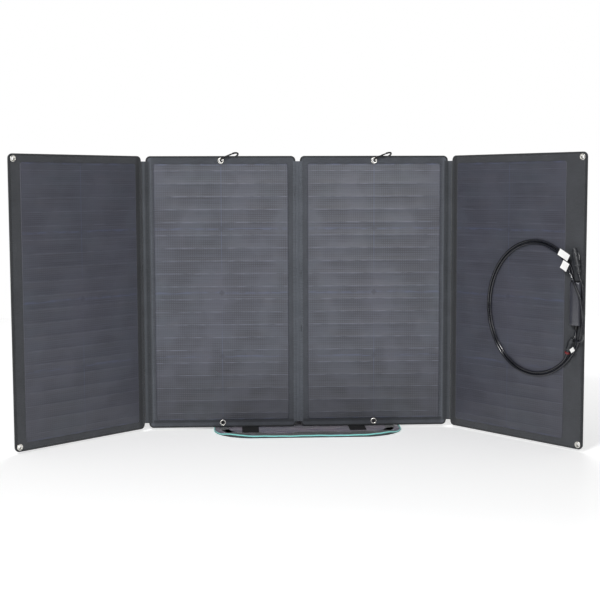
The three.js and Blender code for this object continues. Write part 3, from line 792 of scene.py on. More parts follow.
upper_plug = plug_piece("upper_connector", UPPER_PLUG)
lower_plug = plug_piece("lower_connector", LOWER_PLUG, "lower_connector_ring")
top_tag = paper_tag("top_label", (366, -19.4, 452), 28, 31, 16, 1.2)
upper_tag = paper_tag("upper_label", (371, -21.7, 427), 28, 19, 20, 1.4)
lower_tag = paper_tag("lower_label", (394, -19.3, 236), -35, 12, 9, 1.0)
lead("upper_lead", upper_route)
lead("lower_lead", lower_route)


# ---- Panels ----
EYELET_CUT = 5.6
GRID_MARGIN, GRID_PITCH = 14, 22
RIPPLE_SIZE, RIPPLE_DEPTH = 75, 0.35
BUCKLE_SIZE, BUCKLE_DEPTH, RIB_DEPTH = 110, 0.3, 0.16
STITCH_PITCH, STITCH_LENGTH = 4.2, 2.7
SKIN_OVERLAP = 0.6
BUSBARS_PER_CELL = 5


def edge_profile(face, back, radius):
    """From a flat face round a quarter circle to a back that meets its twin."""
    profile = [(radius + 3.0, face), (radius + 0.4, face)]
    sign, steps = (1 if back > face else -1), 5
    for step in range(steps + 1):
        turn = math.pi / 2 * step / steps
        profile.append((radius * (1 - math.sin(turn)), face + sign * radius * (1 - math.cos(turn))))
    return profile + [(0.0, back), (1.5, back)]


def panel(name, side, width, outer_margin, grommet_x, place, film, border):
    """One panel, built flat and upright with its inner edge by x = 0 and its outer edge towards side."""
    body = name + "_panel"
    inner, outer = sorted((side * HALF_SEAM, side * (width - outer_margin)))
    outline = rounded(inner, PANEL_FOOT, outer, PANEL_TOP, PANEL_CORNER)
    eyes = [(side * grommet_x, z) for z in (PANEL_FOOT + GROMMET_INSET, PANEL_TOP - GROMMET_INSET)]
    eyelets = [hole(x, z, EYELET_CUT) for x, z in eyes]
    reach = ((inner, outer), (PANEL_FOOT, PANEL_TOP))
    cuts = [span(low + GRID_MARGIN, high - GRID_MARGIN, GRID_PITCH) for low, high in reach]
    seed = sum(map(ord, name))
    ripple = unevenness(RIPPLE_SIZE, RIPPLE_DEPTH, seed)

    def damped(p):
        """The ripple fades out by the edges, where the layers are sewn together."""
        rim = min(p.x - inner, outer - p.x, p.z - PANEL_FOOT, PANEL_TOP - p.z)
        return ripple(p) * soft_step(rim, 2, 24)

    front = plate([outline] + eyelets, edge_profile(-CLOTH_FACE, -0.1, EDGE_ROUND), *cuts, wave=damped)
    nodes = (name + "_front_border", name + "_core_board")
    add_piece(name + "_front_cloth", set_uv(front), place, border, "border_fabric", body, nodes)
    rear = plate([outline] + eyelets, edge_profile(CLOTH_FACE, 0.1, EDGE_ROUND), *cuts, wave=damped)
    nodes = (name + "_back_cover",)
    add_piece(name + "_rear_cloth", set_uv(rear), place, BACK, "cover_fabric", body, nodes)

    # The binding tape round the edge, and the rows of stitches that hold it.
    wrap = [(3.6, -3.0), (3.3, -3.35), (1.0, -3.3), (-0.1, -2.6), (-0.55, -1.2), (-0.6, 0)]
    wrap += [(inset, -y) for inset, y in wrap[-2::-1]]
    wrap += [(inset, y) for inset, y in ((3.4, 2.2), (0.3, 1.8), (0.3, -1.8), (3.4, -2.2))]
    bm = bmesh.new()
    rings = [[bm.verts.new((x, y, z)) for x, z in outline(inset)] for inset, y in wrap]
    loft(bm, rings + rings[:1])
    add_piece(name + "_edge_binding", set_uv(bm), place, BINDING, "cover_fabric", body)
    bm = bmesh.new()
    for depth, inset, thread in ((3.42, 2.3, 0.25), (CLOTH_FACE + 0.1, 6.0, 0.22)):
        for y in (-depth, depth):
            row = [(x, y, z) for x, z in outline(inset)]
            stitches(bm, row + row[:1], STITCH_PITCH, STITCH_LENGTH, thread)
    add_piece(name + "_stitching", bm, place, THREAD, "cover_fabric", body)

    # The laminate: one raised sheet over both columns of cells, ribbed where the busbars run.
    foot, head = LAMINATE_FOOT, LAMINATE_FOOT + LAMINATE_HEIGHT
    beside, beyond = LAMINATE_SIDE - SKIN_OVERLAP, LAMINATE_SIDE + LAMINATE_WIDTH + SKIN_OVERLAP
    near, far = sorted((side * beside, side * beyond))
    bars = [foot + BUSBAR_PITCH * (i + 0.5) for i in range(BUSBARS_PER_CELL * CELL_ROWS)]
    across = [side * (LAMINATE_SIDE + CELL_WIDTH * i / 4) for i in range(1, 8)]
    up = [bar + offset for bar in bars for offset in (-1.4, -0.5, 0.5, 1.4)]
    buckle = unevenness(BUCKLE_SIZE, BUCKLE_DEPTH, seed + 3)

    def ribbed(p):
        """The face stands out over each busbar and buckles slowly between the edges."""
        if p.y > -CLOTH_FACE - 0.1:
            return 0.0
        rim = min(p.x - near, far - p.x, p.z - foot, head - p.z)
        share = soft_step(rim, 2, 30)
        bar = min(abs(p.z - value) for value in bars)
        return share * (-RIB_DEPTH * (1 - soft_step(bar, 0.4, 1.3)) + buckle(p))

    shape = rounded(near, foot - SKIN_OVERLAP, far, head + SKIN_OVERLAP, 6)
    skin = [(3.4, -SKIN_FACE), (1.0, -SKIN_FACE), (0.75, -SKIN_FACE - 0.22), (0.4, -SKIN_FACE - 0.2)]
    skin += [(0.0, -SKIN_FACE + 0.1), (-0.5, -SKIN_FACE + 0.5), (-0.8, -2.2), (1.5, -2.2)]
    bm = plate([shape], skin, sorted(across), up, ribbed)
    set_uv(bm, lambda p: ((abs(p.x) - LAMINATE_SIDE) * MM, (p.z - foot) * MM))
    nodes = (name + "_film_skin", name + "_cell_array")
    add_piece(name + "_laminate", bm, place, film, "film", body, nodes)

    # Eyelets: a rolled nickel flange in front, a washer behind.
    for end, (x, z) in zip(("bottom", "top"), eyes):
        bm = bmesh.new()
        curl = [(GROMMET_HOLE, 3.2), (GROMMET_HOLE, -3.0)]
        curl += [(6.35 - 1.6 * x, -3.3 - 1.25 * z) for x, z in arc(0, 0, 1, 0, 1)]
        curl += [(7.7, -2.95), (5.2, -2.9), (5.2, 2.9), (7.9, 2.95), (8.0, 3.4), (7.2, 3.85), (6.0, 4.0)]
        curl += [(5.2, 3.8), (GROMMET_HOLE, 3.2)]
        turned(bm, curl, (x, 0, z), (0, 1, 0), 40)
        node = name + "_grommet_" + end
        add_piece(name + "_eyelet_" + end, bm, place, NICKEL, "nickel", body, (node,), 50)


panel("left_middle", -1, HINGE_X, HALF_SEAM, HINGE_X / 2, ROW, MIDDLE_FILM, BORDER)
panel("right_middle", 1, HINGE_X, HALF_SEAM, HINGE_X / 2, ROW, MIDDLE_FILM, BORDER)
panel("left_wing", -1, LEFT_WIDTH, 0, LEFT_WIDTH - GROMMET_INSET, LEFT_WING, WING_FILM_PAINTED_SHADE, WING_BORDER_PAINTED_SHADE)
panel("right_wing", 1, RIGHT_WIDTH, 0, RIGHT_WIDTH - GROMMET_INSET, RIGHT_WING, WING_FILM_PAINTED_SHADE, WING_BORDER_PAINTED_SHADE)


# ---- Hinges ----
def hinge_layer(name, x, axis_y, side, fold, outline, low, high, material, slot, node, bodies, sag=0.0):
    """A strip of cloth that bends round a hinge. When flat, its outline is (distance past the axis, y)."""
    bm = bmesh.new()
    layer = bm.loops.layers.uv.verify()
    past_axis = {}
    loop = [Vector((s, y, 0)) for s, y in outline]
    loop = smooth_path(loop + loop[:1], 1.1)[:-1]
    rows = span(low, high, 14)
    rings = []
    for z in rows:
        ring = []
        for point in loop:
            s = point.x
            y = point.y - axis_y + sag * noise.noise(Vector((s / 9, z / 34, x))) * (abs(s) < 9)
            turn = -side * fold * soft_step(s, -HALF_SEAM, HALF_SEAM)
            flat = Vector((side * s, y, 0))
            ring.append(bm.verts.new(Matrix.Rotation(turn, 3, "Z") @ flat + Vector((x, axis_y, z))))
            past_axis[ring[-1]] = s * MM
        rings.append(ring)
    loft(bm, rings, caps=True)
    for face in bm.faces:
        for corner in face.loops:
            corner[layer].uv = (past_axis[corner.vert], corner.vert.co.z * MM)
    piece = add_piece(name, bm, ROW, material, slot, replaces=(node,))
    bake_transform(piece)


# The hinges' sections when flat, as (distance past the axis, y). The valley hinges have a hem on their
# middle panel's side and sag into the gap; the ridge hinge stands out over it.
VALLEY = [(-16.4, -2.5), (-16.2, -3.6), (-15.2, -4.3), (-14.0, -4.3), (-13.0, -3.6), (-9, -3.5)]
VALLEY += [(-5.5, -3.5), (-3.6, -3.9), (-1.6, -3.6), (0.4, -2.6), (1.8, -1.4), (3.2, -1.9), (5.0, -3.0)]
VALLEY += [(7, -3.5), (9.2, -3.5), (10.2, -3.2), (10.6, -2.5)]
VALLEY += [(8, 1.9), (5, 2.7), (2, 1.8), (-2, 1.8), (-5, 2.7), (-8, 1.9)]
RIDGE = [(-12, -2.5), (-11.5, -3.2), (-8, -3.5), (-6, -3.2), (-4.8, -2.2), (-3.2, -2.5), (0, -3.4)]
RIDGE += [(3.2, -2.5), (4.8, -2.2), (6, -3.2), (8, -3.5), (11.5, -3.2), (12, -2.5)]
RIDGE += [(9, 2.3), (6, 2.9), (3, 2.2), (-3, 2.2), (-6, 2.9), (-9, 2.3)]
RIBBON_STRIP = [(-5.4, -0.2), (-5.4, -0.3), (0, -0.3), (5.4, -0.3), (5.4, -0.2)]
RIBBON_STRIP += [(5.4, 0.3), (0, 0.3), (-5.4, 0.3)]
HINGES = {
    "left": (-HINGE_X, VALLEY_AXIS_Y, -1, LEFT_FOLD, VALLEY, "left_middle_panel", "left_wing_panel"),
    "centre": (0, RIDGE_AXIS_Y, 1, 0.0, RIDGE, "left_middle_panel", "right_middle_panel"),
    "right": (HINGE_X, VALLEY_AXIS_Y, 1, RIGHT_FOLD, VALLEY, "right_middle_panel", "right_wing_panel"),
}
for name, (x, axis_y, side, fold, outline, *bodies) in HINGES.items():
    place = (x, axis_y, side, fold)
    low, high = PANEL_FOOT + 12.5, PANEL_TOP - 12.5
    web = (outline, low, high, VALLEY_HINGE if fold else HINGE, "hinge_fabric", name + "_hinge_web")
    hinge_layer(name + "_hinge_cloth", *place, *web, bodies, sag=0.5)
    strip = (RIBBON_STRIP, low + 40, low + 84, RIBBON, "ribbon", name + "_bus_ribbon")
    hinge_layer(name + "_ribbon", *place, *strip, bodies)


# ---- Carabiners and their straps ----
WIRE, GATE_WIRE, GATE_GAP = 2.2, 1.9, 0.9
BEND, STRAIGHT = 11, 24
STRAP_TAIL = 40
HOOK_FAR = BEND + STRAIGHT
LEAN, ROLL = math.radians(22), math.radians(25)
HOOK_STRAP_HALF, HOOK_STRAP_THICKNESS = 7.5, 1.15


def gate_radius(share):
    return GATE_WIRE * (0.86 + 0.14 * math.sin(math.pi * share))


def carabiner(name, x):
    """A bent wire hook with its gate, and the webbing strap that hangs from it."""
    body = name + "_middle_panel"
    hook = Matrix.Translation((x, 0, PANEL_TOP - GROMMET_INSET))
    hanging = ROW @ hook @ Matrix.Rotation(-LEAN, 4, "Y")
    place = hanging @ Matrix.Rotation(-ROLL, 4, "X")

    route = [(HOOK_FAR - GATE_GAP, -BEND)] + arc(HOOK_FAR, 0, BEND, -0.5, 1, 12)
    route += arc(BEND, 0, BEND, 0.5, 1, 12) + [(BEND + GATE_GAP, -BEND)]
    bm = sweep(bmesh.new(), smooth_path([(x, y, 0) for x, y in route], 1.2), WIRE, 16)
    for end, axis in ((HOOK_FAR - GATE_GAP, 1), (BEND + GATE_GAP, -1)):
        knob = [(0, -0.8), (1.5, -0.8), (2.2, -0.2), (2.5, 0.6), (2.5, 1.6), (2.2, 2.4), (0, 2.4)]
        turned(bm, knob, (end, -BEND, 0), (axis, 0, 0), 16)
    add_piece(name + "_hook_body", bm, place, BLACK_METAL, "black_metal", body, (name + "_carabiner_body",))

    bm = bmesh.new()
    gate = span(BEND + 2 * GATE_GAP, HOOK_FAR - 2 * GATE_GAP, 1.6)
    sweep(bm, [(along, -BEND, 0) for along in gate], gate_radius, 16)
    pin = [(0, -2.3), (0.8, -2.3), (1.0, -2.0), (1.0, 2.0), (0.8, 2.3), (0, 2.3)]
    turned(bm, pin, (gate[1], -BEND, 0), (0, 0, 1), 12)
    nodes = (name + "_carabiner_gate",)
    add_piece(name + "_hook_gate", bm, place, BLACK_METAL, "black_metal", name + "_gate", nodes)

    # The strap's webbing comes up, turns round the wire and is sewn back to itself.
    middle = (BEND + HOOK_FAR) / 2
    radius = WIRE + 1.2
    path = [(0, 7.5, -STRAP_TAIL), (0.3, 7.4, -30), (0, 7.3, -18), (0, 7.5, -4)]
    path += [(0, y, z) for y, z in arc(BEND, 0, radius, 1, -1.25)]
    path += [(0, 9.6, -5.2), (0, 8.9, -9), (0, 8.75, -16), (0, 8.7, -22)]
    hung = Vector((middle, BEND * (math.cos(ROLL) - 1), -BEND * math.sin(ROLL)))
    path = [Vector(p) + hung for p in path]
    bm = tape(bmesh.new(), smooth_path(path, 1.0), (1, 0, 0), HOOK_STRAP_HALF, HOOK_STRAP_THICKNESS)
    set_uv(bm)
    add_piece(name + "_strap_webbing", bm, hanging, WEBBING, "webbing", body, (name + "_hook_strap",))
    # A sewn box with a cross in it.
    bm = bmesh.new()
    for start, end in ((-10, -10), (-20, -20), (-10, -20), (-20, -10)):
        row = [Vector((-6.3, 9.42, start)) + hung, Vector((6.3, 9.42, end)) + hung]
        stitches(bm, row, 2.1, 1.8, 0.25)
    add_piece(name + "_strap_stitches", bm, hanging, THREAD, "webbing", body)


carabiner("left", -HINGE_X / 2)
carabiner("right", HINGE_X / 2)


# ---- Carrying case: the flap on the floor ----
FLAP_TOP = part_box("base_flap")[1].z / MM
LINING_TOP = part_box("base_lining")[1].z / MM
# The wings' lower edges pass over this depth in front of the panels, so the case stays below this height.
SWEPT_TOP, SWEPT_DEPTH = PANEL_FOOT - 0.9, 74
TIP_LIFT, TIP_START = 7.0, 222
FLAP_LIFT = 0.9
PIPING_RADIUS = 1.7


def case_half_width(depth, inset):
    """Half the flap's width at a depth, with its wide round front corners."""
    half = (CASE_RIGHT - CASE_LEFT) / 2 - inset
    corner = CASE_CORNER - inset
    reach = depth - (CASE_FRONT + inset)
    if reach >= corner:
        return half
    return half - corner + math.sqrt(max(corner**2 - (corner - reach) ** 2, 0.0))


def lying_sheet(inset, low, top, step=5):
    """A cloth that lies on the floor, fitted to the flap's outline. top(x, y) is its upper face."""
    bm = bmesh.new()
    start, length = CASE_FRONT + inset, CASE_REAR - CASE_FRONT - inset
    depths = [start + length * (1 - math.cos(math.pi * 0.5 * share)) for share in span(0, 1, 1 / 9)[:4]]
    depths += span(depths[-1] + step, CASE_REAR, step)
    shares = span(-1, 1, 2 / 92)
    grid = {}
    for face in (0, 1):
        for j, depth in enumerate(depths):
            half = case_half_width(max(depth, start + 0.6), inset)
            for i, share in enumerate(shares):
                x = CASE_MIDDLE + half * share
                rim = min(half * (1 - abs(share)), abs(depth - depths[0]), abs(depths[-1] - depth))
                thin = soft_step(rim, -0.5, 2.5)
                height = low + (top(x, depth) - low) * (0.15 + 0.85 * thin) if face else low
                grid[face, j, i] = bm.verts.new((x, depth, height))
    rows, columns = len(depths), len(shares)
    for face in (0, 1):
        for j in range(rows - 1):
            for i in range(columns - 1):
                corners = ((j, i), (j, i + 1), (j + 1, i + 1), (j + 1, i))
                bm.faces.new([grid[face, *corner] for corner in corners])
    rim = [(0, i) for i in range(columns)] + [(j, columns - 1) for j in range(1, rows)]
    rim += [(rows - 1, i) for i in range(columns - 2, -1, -1)] + [(j, 0) for j in range(rows - 2, 0, -1)]
    loft(bm, [[grid[face, j, i] for j, i in rim] for face in (0, 1)])
    return bm


# Creases of the lining: where each starts and ends on the floor, how wide and how high it is.
CREASES = [
    ((-196, -44), (-116, -112), 9, 4.0),
    ((-178, -30), (-88, -96), 7, 3.0),
    ((-92, -40), (20, -66), 10, 3.6),
    ((-60, -28), (70, -100), 12, 4.4),
    ((-20, -88), (96, -78), 8, 3.0),
    ((26, -36), (112, -60), 7, 3.4),
    ((84, -100), (190, -84), 9, 3.4),
    ((172, -44), (240, -60), 8, 4.2),
    ((150, -74), (226, -40), 7, 3.4),
    ((-150, 60), (-20, 110), 12, 3.4),
    ((10, 50), (150, 130), 14, 3.8),
    ((90, 60), (230, 40), 10, 3.2),
    ((-190, 150), (40, 160), 12, 2.6),
]


def crease_height(x, y):
    """How far the creases raise the lining there."""
    total = 0.0
    for (ax, ay), (bx, by), width, height in CREASES:
        dx, dy = bx - ax, by - ay
        share = ((x - ax) * dx + (y - ay) * dy) / (dx * dx + dy * dy)
        clear = soft_step(share, -0.15, 0.2) * (1 - soft_step(share, 0.8, 1.15))
        wander = 6 * noise.noise(Vector((x / 40, y / 40, ax)))
        away = ((x - ax) * dy - (y - ay) * dx) / math.hypot(dx, dy) + wander
        total += height * clear * math.exp(-((away / width) ** 2))
    return total


def pressed(y, height):
    """Near the panels the case lies flat, where the folded wings' lower edges pass over it."""
    return min(height, SWEPT_TOP + 14 * soft_step(-y, SWEPT_DEPTH, SWEPT_DEPTH + 40))


# Where the strap pads press the lining down: their middle and half their size, x and then y.
PADS = [((-122, -23.5), (21, 48.5)), ((147, -15.5), (21, 40.5))]


def lining_top(x, y):
    """The lining's creases lie low beneath the panels' edges and the strap pads."""
    clear = soft_step(abs(y), 14, 34)
    for (middle_x, middle_y), (half_x, half_y) in PADS:
        beside = max(abs(x - middle_x) - half_x, abs(y - middle_y) - half_y)
        clear = min(clear, soft_step(beside, 0, 14))
    small = 0.5 * noise.noise(Vector((x / 16, y / 16, 4.2)))
    big = 1.4 * noise.noise(Vector((x / 52, y / 30, 9.1)))
    return pressed(y, LINING_TOP + clear * (0.6 + crease_height(x, y) + small + max(big, -0.6)))


def tip_lift(x, y):
    """The flap's right end curls up off the floor."""
    return TIP_LIFT * soft_step(x, TIP_START, CASE_RIGHT + 4) * soft_step(-y, SWEPT_DEPTH, SWEPT_DEPTH + 40)


flap = lying_sheet(0, 0.0, lambda x, y: FLAP_TOP + tip_lift(x, y) * FLAP_LIFT)
for vertex in flap.verts:
    if vertex.co.z < 0.2:
        vertex.co.z += tip_lift(vertex.co.x, vertex.co.y) * FLAP_LIFT
add_piece("case_flap_shell", flap, ROW, COVER, "cover_fabric", "case_base", ("base_flap",), 60)
lining = lying_sheet(3, FLAP_TOP + 0.2, lambda x, y: lining_top(x, y) + tip_lift(x, y), 4)
for vertex in lining.verts:
    if vertex.co.z < FLAP_TOP + 0.4:
        vertex.co.z += tip_lift(vertex.co.x, vertex.co.y)
lining = add_piece("case_lining_satin", lining, ROW, LINING, "lining", "case_base", ("base_lining",), 70)


def rim_path(inset, heights):
    """Round the flap's front edge from its left rear corner to its right one."""
    corner = CASE_CORNER - inset
    left, right, front, rear = CASE_LEFT + inset, CASE_RIGHT - inset, CASE_FRONT + inset, CASE_REAR - 2
    points = [(left, y) for y in span(rear, front + corner, 12)]
    points += arc(left + corner, front + corner, corner, 1, steps=12)[1:]
    points += [(x, front) for x in span(left + corner, right - corner, 12)[1:]]
    points += arc(right - corner, front + corner, corner, 1.5, steps=12)[1:]
    points += [(right, y) for y in span(front + corner, rear, 12)[1:]]
    return [Vector((x, y, heights(x, y))) for x, y in points]


def rim_height(x, y):
    """The rim of the dark band round the lining. It stands up at the two front corners, where the case's
    folded side wall shows below it."""
    ends = soft_step(-x, -CASE_LEFT - 120, -CASE_LEFT - 25)
    ends += soft_step(x, CASE_RIGHT - 120, CASE_RIGHT - 25)
    ripple = 0.35 * math.sin(x / 19) + 0.25 * math.sin(x / 7.3 + y / 11)
    front = soft_step(-y, SWEPT_DEPTH, SWEPT_DEPTH + 36)
    return 1.5 + (2.1 + ripple + 3.5 * ends) * front + tip_lift(x, y) * 0.7


def band_rail(inset, share):
    """A line along the band: share 0 at the flap's foot, 1 at its rim."""
    return rim_path(inset, lambda x, y: 0.3 + (rim_height(x, y) - 0.3) * share)


def over_lining(x, y):
    """The band's inner part lies on the lining."""
    return pressed(y, lining_top(x, y) + tip_lift(x, y) + 0.6)


rails = [band_rail(*place) for place in ((0.3, 0), (1.6, 0.45), (0.6, 0.8), (1.4, 1))]
rails += [rim_path(5, lambda x, y: rim_height(x, y) * 0.85)]
rails += [rim_path(10, lambda x, y: rim_height(x, y) * 0.6 + 1.6)]
rails += [rim_path(inset, over_lining) for inset in (18, 28, 38)]
rails += [rim_path(38, lambda x, y: FLAP_TOP + tip_lift(x, y) * FLAP_LIFT)]
rails += [rim_path(5, lambda x, y: FLAP_TOP * 0.8)]
band = bmesh.new()
rings = [[band.verts.new(p) for p in ring] for ring in zip(*rails)]
loft(band, rings, caps=True)
set_uv(band, lambda p: (p.x * MM, (p.y + p.z) * MM))
add_piece("case_edge_band", band, ROW, COVER, "cover_fabric", "case_base")

# The teal piping runs along the band's rim.
piping = rim_path(1.0, lambda x, y: rim_height(x, y) + 0.9)
bm = sweep(bmesh.new(), smooth_path(piping, 4), PIPING_RADIUS, 10)
add_piece("case_teal_piping", bm, ROW, TEAL, "teal", "case_base", ("base_piping",))

for side in ("left", "right"):
    low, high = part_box(side + "_strap_pad")
    left, front, right, rear = [value / MM for value in (low.x, low.y, high.x, high.y)]
    lying = ROW @ Matrix.Translation((0, 0, high.z / MM)) @ Matrix.Rotation(-math.pi / 2, 4, "X")
    profile = [(4.0, -0.25), (1.2, -0.25), (0.5, -0.35), (0, -0.5), (0, -0.8), (1.5, -0.8)]
    outline = rounded(left, front, right, rear, 4)
    flipped = [(inset, -y) for inset, y in profile]
    bm = plate([outline], flipped, span(left + 6, right - 6, 6), span(front + 6, rear - 6, 6))
    add_piece(side + "_hook_pad", bm, lying, PAD, "webbing", "case_base", (side + "_strap_pad",))

# The fold between the flap and the leaf: a soft gusset of cover cloth.
fold = [(CASE_REAR - 1, 0.7), (182, 0.6), (186.5, 0.8), (189.2, 2.2), (190.0, 5), (189.4, 8)]
bm = bmesh.new()
gusset = []
for x in span(CASE_LEFT + 0.5, CASE_RIGHT - 0.5, 14):
    pucker = 0.35 * noise.noise(Vector((x / 21, 3.3, 0)))
    near = [Vector((x, y + pucker, z + 0.6 + pucker * 0.5)) for y, z in fold]
    far = [Vector((x, y + 0.9 * (y > 185), z - 0.5)) for y, z in fold[::-1]]
    gusset.append([bm.verts.new(p) for p in smooth_path(near, 1.5) + smooth_path(far, 1.5)])
loft(bm, gusset, caps=True)
spine = add_piece("case_spine", bm, ROW, COVER, "cover_fabric", replaces=("spine_gusset",), sharp=70)
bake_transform(spine)


# ---- Carrying case: the leaf behind the panels ----
def leaf_outline(inset):
    """The leaf's outline, with small corners at its foot, as a function of a further inset."""
    left, right, top = CASE_LEFT + inset, CASE_RIGHT - inset, LEAF_LENGTH - inset

    def outline(more):
        corner = LEAF_CORNER - inset - more
        foot_corner = max(3 - more, 0.2)
        points = arc(right - 3, LEAF_FOOT + 3, foot_corner, -0.5)
        points += arc(right - more - corner, top - more - corner, corner, 0.0)
        points += arc(left + more + corner, top - more - corner, corner, 0.5)
        return points + arc(left + 3, LEAF_FOOT + 3, foot_corner, 1.0)

    return outline


inner = leaf_outline(6.4)
leaf_cuts = (span(CASE_LEFT + 30, CASE_RIGHT - 30, 26), span(LEAF_FOOT + 20, LEAF_LENGTH - 30, 26))
bag = unevenness(120, 1.1, 5.5)


def leaf_wave(p):
    """The cover bags out a little between its sewn edges."""
    rim = min(p.x - CASE_LEFT - 6, CASE_RIGHT - 6 - p.x, p.z - LEAF_FOOT, LEAF_LENGTH - 6 - p.z)
    return (bag(p) + 1.0) * soft_step(rim, 4, 60)


cover = plate([inner], edge_profile(4.0, 0.25, 2.0), *leaf_cuts, wave=leaf_wave)
set_uv(cover)
add_piece("leaf_cover_cloth", cover, LEAF, BACK, "cover_fabric", "case_leaf", ("leaf_outer_cover",))
inside = plate([inner], edge_profile(-2.7, 0.05, 1.5), *leaf_cuts, wave=lambda p: -0.25 * leaf_wave(p))
set_uv(inside)
add_piece("leaf_lining_cloth", inside, LEAF, LINING, "lining", "case_leaf", ("leaf_stiffener",))


# How far the zip tape's two edges and its teeth lie inside the leaf's edge, and the teeth's pitch.
ZIP_TAPE_INNER, ZIP_TAPE_OUTER, ZIP_TEETH, ZIP_TEETH_PITCH = 7.5, 0.8, 1.2, 2.4


def zip_path(inset, low=40.0):
    """Up the leaf's right side, over its top and down its left side."""
    left, right, top = CASE_LEFT + inset, CASE_RIGHT - inset, LEAF_LENGTH - inset
    r = LEAF_CORNER - inset
    points = [(right, 0, z) for z in span(low, top - r, 12)]
    for cx, cz, start in ((right - r, top - r, 0.0), (left + r, top - r, 0.5)):
        points += [(x, 0, z) for x, z in arc(cx, cz, r, start, steps=10)]
    points += [(left, 0, z) for z in span(top - r, low, 12)]
    return smooth_path(points, 6)


bm = bmesh.new()
zip_rings = []
inner_line, outer_line = zip_path(ZIP_TAPE_INNER), zip_path(ZIP_TAPE_OUTER)
for share in [i / 300 for i in range(301)]:
    a, b = [line[round(share * (len(line) - 1))] for line in (inner_line, outer_line)]
    corners = ((a, -0.9), (b, -0.9), (b, 0.1), (a, 0.1))
    zip_rings.append([bm.verts.new(p + Vector((0, y, 0))) for p, y in corners])
loft(bm, zip_rings, caps=True)
set_uv(bm)
add_piece("zip_tape_cloth", bm, LEAF, TEAL_TAPE, "teal", "case_leaf", ("zipper_tape",))

# Teeth: a nylon coil, one small bridge of monofilament after another.
bm = bmesh.new()
teeth_line = smooth_path(zip_path(ZIP_TEETH), ZIP_TEETH_PITCH)
for a, b in zip(teeth_line, teeth_line[1:]):
    along = (b - a).normalized()
    out = Vector((along.z, 0, -along.x))
    hoop = ((-1.7, -0.9), (-0.9, -1.9), (0.8, -1.8), (1.3, -0.9), (0.8, -0.2))
    sweep(bm, [a + out * away + Vector((0, y, 0)) for away, y in hoop], 0.55, 5)
add_piece("zip_teeth", bm, LEAF, BLACK_PLASTIC, "black_plastic", "case_leaf")

# Two rows of stitches beside the zip.
bm = bmesh.new()
for inset in (10, 15):
    line = zip_path(inset, 20)
    stitches(bm, [p + Vector((0, 4.25 + leaf_wave(p), 0)) for p in line], 4.2, 2.8, 0.3)
add_piece("leaf_stitching", bm, LEAF, THREAD, "cover_fabric", "case_leaf")

HANDLE_Z, HANDLE_Y = 596, 9.2
HANDLE_HALF, HANDLE_DROP, HANDLE_RADIUS, HANDLE_CORNER = 58, 42, 6, 16


def lug_tab(middle):
    """A folded webbing tab: up from the cover, round the handle's end and back."""
    rise = [(5.4, -26), (5.5, -12), (7.2, -7), (11.6, -5.5)]
    fall = [(y, -z) for y, z in rise[::-1]]
    path = [(middle, y, HANDLE_Z + z) for y, z in rise + [(13.0, 0)] + fall]
    return tape(bmesh.new(), smooth_path(path, 1.5), (1, 0, 0), 6, 1.3)


for side, label in ((-1, "left"), (1, "right")):
    middle = CASE_MIDDLE + side * (HANDLE_HALF + HANDLE_RADIUS + 6.4)
    bm = set_uv(lug_tab(middle))
    add_piece(label + "_handle_tab", bm, LEAF, WEBBING, "webbing", "case_leaf")
    bm = bmesh.new()
    bars = [(z, z) for z in (-24, -14, 14, 24)]
    crosses = [(-24, -14), (-14, -24), (14, 24), (24, 14)]
    for start, end in bars + crosses:
        row = [(middle - 5, 6.2, HANDLE_Z + start), (middle + 5, 6.2, HANDLE_Z + end)]
        stitches(bm, row, 1.9, 1.6, 0.25)
    add_piece(label + "_tab_stitches", bm, LEAF, THREAD, "webbing", "case_leaf")

# The handle: webbing rolled into a grip, thicker in the middle, on a bar that turns in the tabs.
grip = [(-HANDLE_HALF, 0), (-HANDLE_HALF, -HANDLE_DROP + HANDLE_CORNER)]
grip += [(-HANDLE_HALF + 4.8, -HANDLE_DROP + 4.8), (-HANDLE_HALF + HANDLE_CORNER, -HANDLE_DROP)]
grip += [(0, -HANDLE_DROP)]
grip += [(-x, z) for x, z in grip[-2::-1]]
grip_path = [Vector((CASE_MIDDLE + x, HANDLE_Y, HANDLE_Z + z)) for x, z in grip]
bm = bmesh.new()


def grip_radius(share):
    return HANDLE_RADIUS * (0.62 + 0.38 * soft_step(0.5 - abs(share - 0.5), 0.16, 0.3))


sweep(bm, smooth_path(grip_path, 2), grip_radius, 18)
for vertex in bm.verts:
    if abs(vertex.co.z - (HANDLE_Z - HANDLE_DROP)) > 12:
        vertex.co.y = HANDLE_Y + (vertex.co.y - HANDLE_Y) * 0.8
set_uv(bm, lambda p: (p.x * MM, (p.z + p.y) * MM))
add_piece("handle_webbing", bm, LEAF, WEBBING, "webbing", "handle", ("handle_grip",))
bm = bmesh.new()
for side in (-1, 1):
    end = CASE_MIDDLE + side * HANDLE_HALF
    knob = [(0, -4.2), (3.3, -4.2), (3.9, -3.6), (3.9, 3.4), (2.2, 4.0), (2.2, 12.5), (1.8, 13), (0, 13)]
    turned(bm, knob, (end, HANDLE_Y, HANDLE_Z), (side, 0, 0), 20)
add_piece("handle_pivots", bm, LEAF, BLACK_PLASTIC, "black_plastic", "handle")

